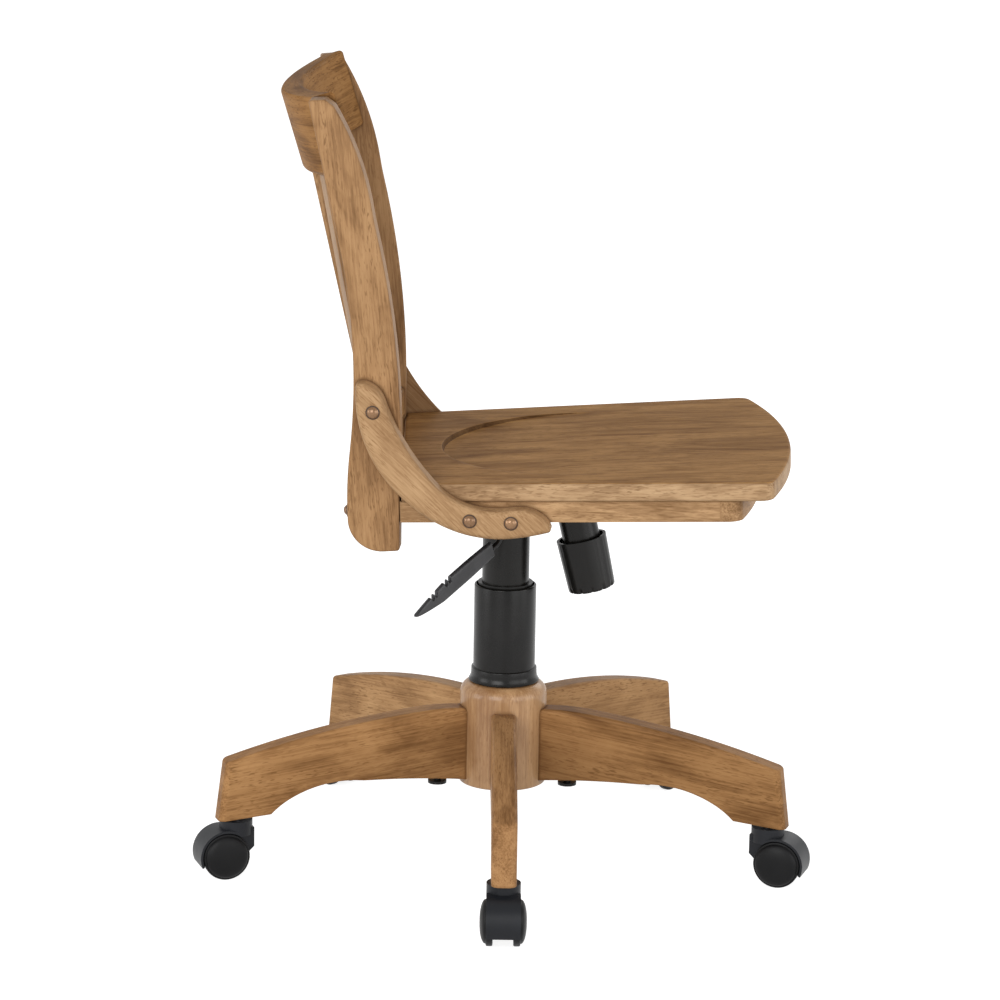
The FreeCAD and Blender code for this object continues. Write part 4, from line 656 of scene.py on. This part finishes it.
@dataclass
class Column:
    """Gas lift with its plastic covers."""

    foot: float = 193.6 * MM
    top: float = 299 * MM
    radius: float = 33 * MM
    wall: float = 2.5 * MM
    lip: float = 1.4 * MM
    collar_radius: float = 34.9 * MM
    collar_top: float = 208.3 * MM
    collar_edge: float = 0.8 * MM
    flare_radius: float = 37.4 * MM
    flare_height: float = 8 * MM

    def build(self) -> None:
        """Dress the column and turn the lower cover."""
        dress(BLACK_STEEL, "gas_lift_tube")
        dress(SATIN_BLACK, "column_cover_middle")
        dress(BRIGHT_STEEL, "gas_rod", "gas_cylinder", "valve_button")
        cover = lathe("column_cover_flare", self.cover_profile(), [Matrix.Identity(4)], 128)
        settle(cover, "base", "black_plastic", COVER_BLACK, "column_cover_lower")

    def cover_profile(self) -> Array:
        """Sleeve with a stepped collar above a hollow flare: radius falls as (1 - h)^2.2.

        Steps of a few tenths of a millimetre break the edges between curves.
        """
        share = np.linspace(0, 1, 12)
        flare = np.stack([self.collar_radius + 0.2 * MM
                          + (self.flare_radius - self.collar_radius) * (1 - share) ** 2.2,
                          self.foot + 1.2 * MM + self.flare_height * share], axis=1)
        collar = rounded((self.collar_radius - self.collar_edge,
                          self.collar_top - self.collar_edge), self.collar_edge, 0, 90, 4)
        lip = rounded((self.radius - self.lip, self.top - self.lip), self.lip, 0, 120)
        bore = self.radius - self.wall
        return np.concatenate([
            [[bore, self.foot], [self.flare_radius - 0.6 * MM, self.foot],
             [self.flare_radius + 0.1 * MM, self.foot + 0.6 * MM]],
            flare, collar, [[self.radius + 0.3 * MM, self.collar_top],
                            [self.radius, self.collar_top + 0.4 * MM]],
            lip, [[bore, self.top - 2.0 * MM]]])


@dataclass
class TiltMechanism:
    """Housing, tension knob with its spring, lever and seat plate."""

    foot: Point = (92.2 * MM, 0.0, 295.8 * MM)
    lean: float = 13.1
    spring_radius: float = 14 * MM
    wire: float = 2.5 * MM
    spring_low: float = 19.6 * MM
    spring_high: float = 81.8 * MM
    spring_keep: float = 0.746
    coils: float = 7.5
    dead_end: float = 0.1
    knob_length: float = 56.6 * MM
    foot_radius: float = 25 * MM
    foot_edge: float = 2 * MM
    rim_radius: float = 26.75 * MM
    rim_edge: float = 0.6 * MM
    wall: float = 3 * MM
    floor: float = 5 * MM
    boss_radius: float = 10 * MM
    boss_top: float = 13 * MM
    bolt_bore: float = 6.05 * MM
    scallops: int = 12
    scallop_reach: float = 7 * MM
    lever_root: Point = (-16 * MM, -60 * MM, 351 * MM)
    lever_tip: Point = (-95 * MM, -150 * MM, 300 * MM)
    paddle_half: float = 10.2 * MM
    paddle_thick: float = 7 * MM
    paddle_least: float = 0.3 * MM
    notches: tuple[float, ...] = (0.545, 0.590, 0.725, 0.770)
    notch_half: float = 0.021
    notch_depth: float = 5.2 * MM

    def axis(self) -> Matrix:
        """Frame of the tension axis, Z up along it from the foot of the knob."""
        return Matrix.Translation(self.foot) @ turn(-self.lean, "Y")

    def build(self) -> None:
        """Dress the metal and build the spring, the knob and the lever's blade."""
        dress(BLACK_STEEL, "tilt_housing", "seat_plate", "lever_rod")
        dress(BRIGHT_STEEL, "mechanism_pins", "tension_bolt", "tension_washer", "seat_screws")
        self.spring()
        self.knob()
        self.paddle()

    def spring(self) -> None:
        """Wound spring: radius constant, height grows with the angle, flat dead end turns.

        Its lower end leaves room for the washer, which the knob lifts.
        """
        turns = np.linspace(0, 1, 420)
        pace = np.clip((turns - self.dead_end) / (1 - 2 * self.dead_end), 0, 1)
        ends = (np.clip(turns / self.dead_end, 0, 1)
                + np.clip((turns - 1 + self.dead_end) / self.dead_end, 0, 1))
        low = self.spring_low + self.wire
        high = self.spring_high - self.wire
        height = low + (high - low - 2 * self.wire) * pace + self.wire * ends
        angle = turns * self.coils * 2 * math.pi
        path = np.stack([self.spring_radius * np.cos(angle), self.spring_radius * np.sin(angle),
                         height], axis=1)
        spring = sweep("tilt_spring_coil", path, self.wire, self.axis())
        settle(spring, "lift", "spring_steel", SPRING_STEEL, "tilt_spring")
        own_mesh(spring)

    def knob(self) -> None:
        """Cup-shaped knob: a cone with shallow ribs and scallops that fade out upwards."""
        foot = rounded((self.foot_radius - self.foot_edge, self.foot_edge), self.foot_edge,
                       -90, -18, 5)
        levels = np.linspace(0, 1, 64)
        levels = levels[self.knob_length * levels > self.foot_edge]
        cone = np.stack([self.foot_radius + (self.rim_radius - self.foot_radius) * levels,
                         self.knob_length * levels], axis=1)
        inside = [[self.rim_radius - self.rim_edge, self.knob_length],
                  [self.rim_radius - self.wall, self.knob_length],
                  [self.foot_radius - self.wall, self.floor], [self.boss_radius, self.floor],
                  [self.boss_radius, self.boss_top], [self.bolt_bore, self.boss_top],
                  [self.bolt_bore, 0.0]]
        profile = np.concatenate([foot, cone, inside])
        segments = 192
        notch = np.clip(np.cos(around(segments) * self.scallops) * 2.2 - 1.2, 0, 1)
        fade = np.clip(1 - profile[:, 1] / self.scallop_reach, 0, 1)
        depth = np.where(np.arange(len(profile)) < len(foot) + len(cone),
                         0.075 * fade + 0.006, 0.0)
        knob = lathe("tension_knob_cup", profile, [self.axis()], segments,
                     wave=1 - depth[:, None] * notch)
        settle(knob, "knob", "black_plastic", SATIN_BLACK, "tension_knob")

    def paddle(self) -> None:
        """Blade of the lever: a squared oval whose half widths follow its length.

        The half width opens from the root and runs out in a point, with two pairs of
        notches in the upper edge. Across, y = t |sin|^0.6 and z = w |cos|^0.6.
        """
        root, tip = Vector(self.lever_root), Vector(self.lever_tip)
        way = (tip - root).normalized()
        up = (Vector((0, 0, 1)) - way * way.z).normalized()
        place = Matrix.Translation(root) @ Matrix((way, up.cross(way), up)).transposed().to_4x4()
        share = np.linspace(0, 1, 241)
        opening = self.paddle_half * (0.86 + 0.14 * np.clip(share / 0.30, 0, 1) ** 0.8)
        lower = opening * np.clip((1 - share) / 0.34, 0, 1) ** 0.58
        upper = opening * np.clip((1 - share) / 0.46, 0, 1) ** 0.72
        for middle in self.notches:
            cut = np.clip(1 - abs(share - middle) / self.notch_half, 0, 1)
            upper = upper - self.notch_depth * np.clip(cut * 2.2, 0, 1)
        end = np.clip(share / 0.012, 0.7, 1) * np.clip((1 - share) / 0.02, 0.03, 1) ** 0.5
        thick = self.paddle_thick / 2 * end * (1 - 0.25 * share)
        angle = around(40)
        side = np.sign(np.sin(angle)) * abs(np.sin(angle)) ** 0.6
        rise = np.sign(np.cos(angle)) * abs(np.cos(angle)) ** 0.6
        width = np.maximum(np.where(rise > 0, upper[:, None], lower[:, None]),
                           self.paddle_least)
        length = np.repeat(share[:, None] * (tip - root).length, len(angle), axis=1)
        blade = skin("lever_paddle", np.stack([length, thick[:, None] * side, width * rise],
                                              axis=-1), place, 38.0)
        settle(blade, "lever", "black_plastic", LEVER_BLACK, "lever_handle")


@dataclass
class Seat:
    """Dished seat panel with its aprons."""

    thickness: float = 19 * MM
    half_width: float = 186 * MM
    taper: float = 0.1
    rear: float = -110.8 * MM
    front: float = 297 * MM
    front_sweep: float = 725 * MM
    corner: float = 14 * MM
    edge: float = 3.2 * MM
    dish_centre: float = 82 * MM
    dish_radius: float = 152 * MM
    dish_depth: float = 5.5 * MM
    dish_run: float = 165 * MM
    dish_sag: float = 0.8 * MM
    lip: float = 2.4 * MM
    steps: int = 720
    shift: Point = (0.2, 0.0, 0.4)
    panel_tone: Colour = (0.395, 0.210, 0.080)
    # Painted light and shade: the edge tone is paler for the lit upright faces, the lip tone
    # darker for the shaded dish wall.
    painted_light_edge_tone: Colour = (0.405, 0.255, 0.136)
    painted_shade_lip_tone: Colour = (0.150, 0.078, 0.032)
    apron_tone: Colour = (0.415, 0.250, 0.125)

    def corner_centre(self) -> tuple[float, float]:
        """Centre of the round front corner, as far from the side as from the front sweep.

        It solves (x - c)^2 + (s + t x)^2 = r^2: c and r are those of the front sweep moved
        in by the corner's radius, and s + t x is the side moved in as much.
        """
        centre = self.front - self.front_sweep
        reach = self.front_sweep - self.corner
        start = self.half_width - self.corner * math.hypot(1, self.taper)
        half = centre - self.taper * start
        square = 1 + self.taper ** 2
        root = math.sqrt(half ** 2 - square * (centre ** 2 + start ** 2 - reach ** 2))
        x = (half + root) / square
        return x, start + self.taper * x

    def outline(self) -> tuple[Array, Array]:
        """Plan outline of the panel, evenly stepped, and its outward unit normals."""
        centre = self.front - self.front_sweep
        x, y = self.corner_centre()
        side_angle = 90 + math.degrees(math.atan(self.taper))
        front_angle = math.degrees(math.atan2(y, x - centre))
        corner = rounded((x, y), self.corner, side_angle, front_angle, 40)
        front = rounded((centre, 0.0), self.front_sweep, front_angle, -front_angle, 260)[1:-1]
        rear = np.array([[self.rear, 0.0],
                         [self.rear, self.half_width + self.taper * self.rear]])
        mirror = np.array([1, -1])
        path = np.concatenate([rear, corner, front, corner[::-1] * mirror, rear[::-1] * mirror])
        lengths = np.linalg.norm(np.diff(path, axis=0), axis=1)
        total = np.concatenate([[0], np.cumsum(lengths)])
        wanted = np.linspace(0, total[-1], self.steps, endpoint=False)
        for value in (total[1], total[-2]):
            wanted[np.argmin(abs(wanted - value))] = value
        points = np.stack([np.interp(wanted, total, path[:, k]) for k in (0, 1)], axis=1)
        along = np.roll(points, -1, axis=0) - np.roll(points, 1, axis=0)
        along /= np.linalg.norm(along, axis=1)[:, None]
        return points, np.stack([-along[:, 1], along[:, 0]], axis=1)

    def inset(self, points: Array, normals: Array, depth: float) -> Array:
        """Outline moved inwards by a depth and mitred at the two square rear corners."""
        moved = points - normals * depth
        x = np.maximum(moved[:, 0], self.rear + depth)
        y = moved[:, 1] + np.sign(moved[:, 1]) * self.taper * (x - moved[:, 0])
        limit = self.half_width + self.taper * x - depth * math.hypot(1, self.taper)
        return np.stack([x, np.clip(y, -limit, limit)], axis=1)

    def hollow(self, x: Array, y: Array) -> Array:
        """Depth of the scoop: a tilted floor inside a circle, with a short steep edge."""
        away = np.hypot(x - self.dish_centre, y)
        rear = self.dish_centre - self.dish_radius
        floor = self.dish_depth * np.clip((self.dish_run - (x - rear)) / self.dish_run, 0, 1)
        wall = np.clip((self.dish_radius - away) / self.lip, 0, 1)
        wall = wall * wall * (3 - 2 * wall)
        sag = self.dish_sag * np.clip(1 - (away / self.dish_radius) ** 2, 0, 1)
        return (floor + sag) * wall

    def rings(self) -> Array:
        """Rings of the panel's skin, from the middle of its top to the middle of its foot."""
        points, normals = self.outline()
        centre = np.array([self.dish_centre, 0.0])
        inner = self.inset(points, normals, self.edge)
        spoke = inner - centre
        circle = centre + spoke / np.linalg.norm(spoke, axis=1)[:, None] * self.dish_radius
        floor_end = 1 - self.lip / self.dish_radius
        shares = np.concatenate([np.linspace(0, floor_end, 30)[:-1],
                                 np.linspace(floor_end, 1, 10)])
        top = [centre + (circle - centre) * share for share in shares]
        top += [circle + (inner - circle) * share for share in np.linspace(0, 1, 22)[1:-1]]
        rings = [np.column_stack([plan, -self.hollow(*plan.T)]) for plan in top]

        def level(plan: Array, height: float) -> Array:
            """Ring of one height over a plan."""
            return np.column_stack([plan, np.full(len(plan), height)])

        bend = np.linspace(0, math.pi / 2, 7)
        edge = [(self.inset(points, normals, self.edge * (1 - math.sin(angle))),
                 self.edge * (1 - math.cos(angle))) for angle in bend]
        rings += [level(plan, -drop) for plan, drop in edge]
        rings += [level(plan, drop - self.thickness) for plan, drop in edge[::-1]]
        rings += [level(centre + spoke * share, -self.thickness)
                  for share in np.linspace(1, 0, 12)[1:]]
        return np.stack(rings)

    def paint_rim_light_and_lip_shade(self, panel: Object, edge: WoodFinish, lip: WoodFinish) -> None:
        """Paler wood on the upright faces of the rim as painted light, and painted shade on the
        wall of the dish.

        The painted shade widens towards the rear, where the wall is highest.

        Args:
            panel: The seat panel.
            edge: Finish of the upright faces, made paler as painted light.
            lip: Finish of the wall around the dish, made darker as painted shade.
        """
        mesh = panel.data
        normal, centre = (np.empty(len(mesh.polygons) * 3) for _ in range(2))
        mesh.polygons.foreach_get("normal", normal)
        mesh.polygons.foreach_get("center", centre)
        flatness = abs(normal.reshape(-1, 3)[:, 2])
        x, y, z = centre.reshape(-1, 3).T
        away = np.hypot(x - self.dish_centre, y)
        rearness = (self.dish_centre - x) / np.maximum(away, MM)
        limit = 0.93 + 0.08 * np.clip((rearness - 0.55) / 0.4, 0, 1)
        upper = SEAT_HEIGHT + x * math.tan(math.radians(SEAT_RAKE)) - z < self.thickness / 2
        in_dish = away < self.dish_radius
        wall = in_dish & (away > self.dish_radius - self.lip) & upper & (flatness < limit)
        index = np.where(wall, 2, np.where(~in_dish & (flatness < 0.80), 1, 0))
        mesh.materials.append(edge.material())
        mesh.materials.append(lip.material())
        mesh.polygons.foreach_set("material_index", index.astype(np.int32))
        mesh.update()

    def build(self) -> None:
        """Build the panel and dress the aprons."""
        rings = self.rings()
        panel = mesh_object("seat_panel_top", transform(rings.reshape(-1, 3), seat_frame()),
                            [grid_faces(*rings.shape[:2])], 60.0)
        merge_doubles(panel)
        face_outward(panel)
        way = (1.0, 0.0, math.tan(math.radians(SEAT_RAKE)))
        settle(panel, "seat", "wood_seat",
               WoodFinish("seat_wood", way, self.shift, self.panel_tone, 0.01), "seat_panel")
        # Painted light on the upright faces of the rim and painted shade on the dish wall.
        self.paint_rim_light_and_lip_shade(panel,
                       WoodFinish("seat_edge_painted_light", way, self.shift, self.painted_light_edge_tone, 0.05),
                       WoodFinish("seat_lip_painted_shade", way, self.shift, self.painted_shade_lip_tone, 0.02))
        for side, way in (("left", Way.FORWARD), ("right", Way.FORWARD), ("front", Way.ACROSS),
                          ("rear", Way.ACROSS)):
            dress(WoodFinish(f"apron_{side}_wood", way.value, (0.4, 0.2, 0.7), self.apron_tone),
                  f"apron_{side}")


@dataclass
class Back:
    """Posts, brackets, crest, rail, slats and the bolts."""

    lean: float = 2.5
    spread: float = 5.71
    offset: float = 183.6 * MM
    bracket: float = 20 * MM
    post: float = 22 * MM
    head: tuple[float, float] = (6.1 * MM, 3.7 * MM)
    post_head: tuple[float, float] = (5.6 * MM, 4.5 * MM)
    washer_radius: float = 7.2 * MM
    washer: float = 0.8 * MM
    sunk: float = 0.4 * MM
    bracket_bolts: tuple[tuple[float, float], ...] = (
        (-135.0 * MM, 80.2 * MM), (-40.0 * MM, -34.1 * MM), (2.0 * MM, -36.6 * MM))
    post_bolt: tuple[float, float] = (-168.0 * MM, -30.5 * MM)
    crest: Arc = Arc((97.7 * MM, 0.0, 930.1 * MM), 16.9, 355.8 * MM)
    slats: int = 4
    post_way: Point = (-0.1, 0.0, 1.0)
    bracket_way: Point = (0.72, 0.0, -0.68)
    slat_way: Point = (-0.17, 0.0, 1.0)
    post_tone: Colour = (0.325, 0.180, 0.081)
    bracket_tone: Colour = (0.390, 0.237, 0.120)
    crest_tone: Colour = (0.300, 0.150, 0.054)
    slat_tone: Colour = (0.330, 0.190, 0.090)

    def side_frame(self, side: int) -> Matrix:
        """Frame of one side plane: X forward, Z up, Y to the left."""
        return (seat_frame() @ Matrix.Translation((0, self.offset * side, 0))
                @ turn(self.spread * side, "Z") @ turn(-self.lean * side, "X"))

    def head_profile(self, radius: float, rise: float) -> Array:
        """Bolt head seen from its side: the crown falls by 0.8 of its rise times r^2.6."""
        share = np.linspace(0, 1, 14)
        dome = np.stack([radius * share, -rise + rise * 0.80 * share ** 2.6], axis=1)
        return np.concatenate([dome, [[radius, self.sunk], [0.0, self.sunk]]])

    def washer_profile(self) -> Array:
        """Flat washer under a bolt head, with a rounded outer edge."""
        bend = self.washer / 2
        edge = rounded((self.washer_radius - bend, -bend), bend, -90, 0, 5)
        return np.concatenate([[[0.0, -self.washer]], edge,
                               [[self.washer_radius, self.sunk], [0.0, self.sunk]]])

    def bolts(self) -> None:
        """Heads of the six bracket bolts and the two post bolts, each on its washer."""
        on_brackets, on_posts = [], []
        for side in (-1, 1):
            frame = self.side_frame(side)
            on_brackets += [frame @ Matrix.Translation((forward, self.bracket * side, height))
                            @ turn(90 * side, "X")
                            for forward, height in self.bracket_bolts]
            forward, height = self.post_bolt
            on_posts.append(frame @ Matrix.Translation((forward, -self.post / 2 * side, height))
                            @ turn(90, "Y"))
        for name, profile, places, finish in (
                ("bracket_bolt_heads", self.head_profile(*self.head), on_brackets, BRONZE),
                ("post_bolt_heads", self.head_profile(*self.post_head), on_posts, BRONZE),
                # The near-black washers paint the shade around each bolt head.
                ("bolt_washers", self.washer_profile(), on_brackets + on_posts, BRONZE_RIM_PAINTED_SHADE)):
            settle(lathe(name, profile, places, 48, 40.0), "seat", "bronze_bolt", finish,
                   "frame_bolts")

    def build(self) -> None:
        """Dress the back and make the bolt heads."""
        for side, shift in (("left", 0.5), ("right", 0.1)):
            dress(WoodFinish(f"post_wood_{side}", self.post_way, (shift, 0.3, 0.2),
                             self.post_tone, shine=0.10), f"post_{side}")
            dress(WoodFinish(f"bracket_wood_{side}", self.bracket_way, (shift, 0.1, 0.6),
                             self.bracket_tone, dark=0.60), f"bracket_{side}")
        dress(WoodFinish("crest_wood", Way.ACROSS.value, middle=self.crest_tone, shine=0.01,
                         dark=0.40, arc=self.crest), "crest_rail")
        dress(WoodFinish("rail_wood", Way.ACROSS.value, (0.6, 0.2, 0.1)), "lower_rail")
        for tag in range(1, self.slats + 1):
            dress(WoodFinish(f"slat_wood_{tag}", self.slat_way, (0.2 * tag, 0.4, 0.3),
                             self.slat_tone, shine=0.10), f"slat_{tag}")
        self.bolts()


@dataclass(frozen=True)
class Lamp:
    """Square area lamp aimed at the chair: side in metres, power in watts."""

    name: str
    place: Point
    size: float
    power: float


@dataclass
class Studio:
    """Camera of the photograph, pale floor and soft lamps."""

    location: Point = (-59.5 * MM, -4589.1 * MM, 1465.7 * MM)
    azimuth: float = 0.65
    pitch: float = 13.1955
    roll: float = 1.0429
    lens: float = 160.206
    sensor: float = 36.0
    far: float = 50.0
    aim: Point = (0.0, 0.0, 0.3)
    lamps: tuple[Lamp, ...] = (
        Lamp("key_lamp", (-1.4, -3.3, 1.6), 2.2, 88.0),
        Lamp("fill_lamp", (2.3, -2.9, 1.2), 2.2, 46.0),
        Lamp("left_lamp", (-3.2, -1.0, 0.9), 1.6, 34.0),
        Lamp("right_lamp", (3.2, -1.0, 0.9), 1.6, 26.0),
        Lamp("back_lamp", (1.6, 2.4, 1.9), 1.6, 14.0))
    surround: float = 0.30
    floor_half: float = 8.0
    floor_tone: Colour = (0.55, 0.55, 0.55)
    glow_under: float = 0.86
    glow_reach: tuple[float, float] = (0.45, 1.6)

    def camera(self) -> None:
        """Camera at its azimuth, pitched down and rolled about its line of sight."""
        data = bpy.data.cameras.new("photo_camera")
        data.sensor_width = self.sensor
        data.lens = self.lens
        data.clip_end = self.far
        camera = bpy.data.objects.new("photo_camera", data)
        camera.matrix_world = (Matrix.Translation(self.location) @ turn(-self.azimuth, "Z")
                               @ turn(90 - self.pitch, "X") @ turn(self.roll, "Z"))
        bpy.context.scene.collection.objects.link(camera)
        bpy.context.scene.camera = camera

    def floor(self) -> None:
        """Pale floor with a faint shadow, which shows white away from the chair."""
        corners = self.floor_half * np.array([[-1, -1, 0], [1, -1, 0], [1, 1, 0], [-1, 1, 0]])
        floor = mesh_object("studio_floor", corners, [np.array([[0, 1, 2, 3]])])
        material, n, shader = new_material("studio_floor_white")
        away = n.add("ShaderNodeVectorMath", {0: n.add("ShaderNodeTexCoord").outputs["Object"]},
                     operation="LENGTH").outputs["Value"]
        glow = n.span(away, *self.glow_reach, self.glow_under, 1.0)
        n.fill(shader, {
            "Base Color": self.floor_tone, "Roughness": 1.0, "Specular IOR Level": 0.0,
            "Emission Color": (1.0, 1.0, 1.0),
            "Emission Strength": n.math("MULTIPLY", n.seen(), glow)})
        floor.data.materials.append(material)

    def light(self) -> None:
        """Area lamps aimed at the seat, and a white surround."""
        for lamp in self.lamps:
            data = bpy.data.lights.new(lamp.name, "AREA")
            data.size = lamp.size
            data.energy = lamp.power
            piece = bpy.data.objects.new(lamp.name, data)
            piece.location = lamp.place
            line = Vector(self.aim) - Vector(lamp.place)
            piece.rotation_euler = line.to_track_quat("-Z", "Y").to_euler()
            bpy.context.scene.collection.objects.link(piece)
        world = bpy.data.worlds.new("studio_surround")
        world.use_nodes = True
        world.node_tree.nodes.clear()
        n = Nodes(world.node_tree)
        background = n.add("ShaderNodeBackground", {
            "Color": (1.0, 1.0, 1.0), "Strength": n.span(n.seen(), 0.0, 1.0, self.surround, 1.0)})
        n.add("ShaderNodeOutputWorld", {"Surface": background.outputs["Background"]})
        bpy.context.scene.world = world

    def build(self) -> None:
        """Set up the whole studio."""
        bpy.context.scene.view_settings.view_transform = "Standard"
        self.camera()
        self.floor()
        self.light()


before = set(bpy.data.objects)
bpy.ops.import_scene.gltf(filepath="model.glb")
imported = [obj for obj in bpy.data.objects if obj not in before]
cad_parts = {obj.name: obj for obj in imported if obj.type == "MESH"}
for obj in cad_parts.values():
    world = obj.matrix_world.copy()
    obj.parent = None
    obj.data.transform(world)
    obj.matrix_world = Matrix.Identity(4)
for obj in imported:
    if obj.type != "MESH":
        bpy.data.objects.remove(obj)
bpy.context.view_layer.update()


def main() -> None:
    """Build the studio and every sub-assembly."""
    Studio().build()
    for part in (WheeledBase(), Column(), TiltMechanism(), Seat(), Back()):
        part.build()
        LOG.info("%s is dressed", type(part).__name__)


if __name__ == "__main__":
    main()
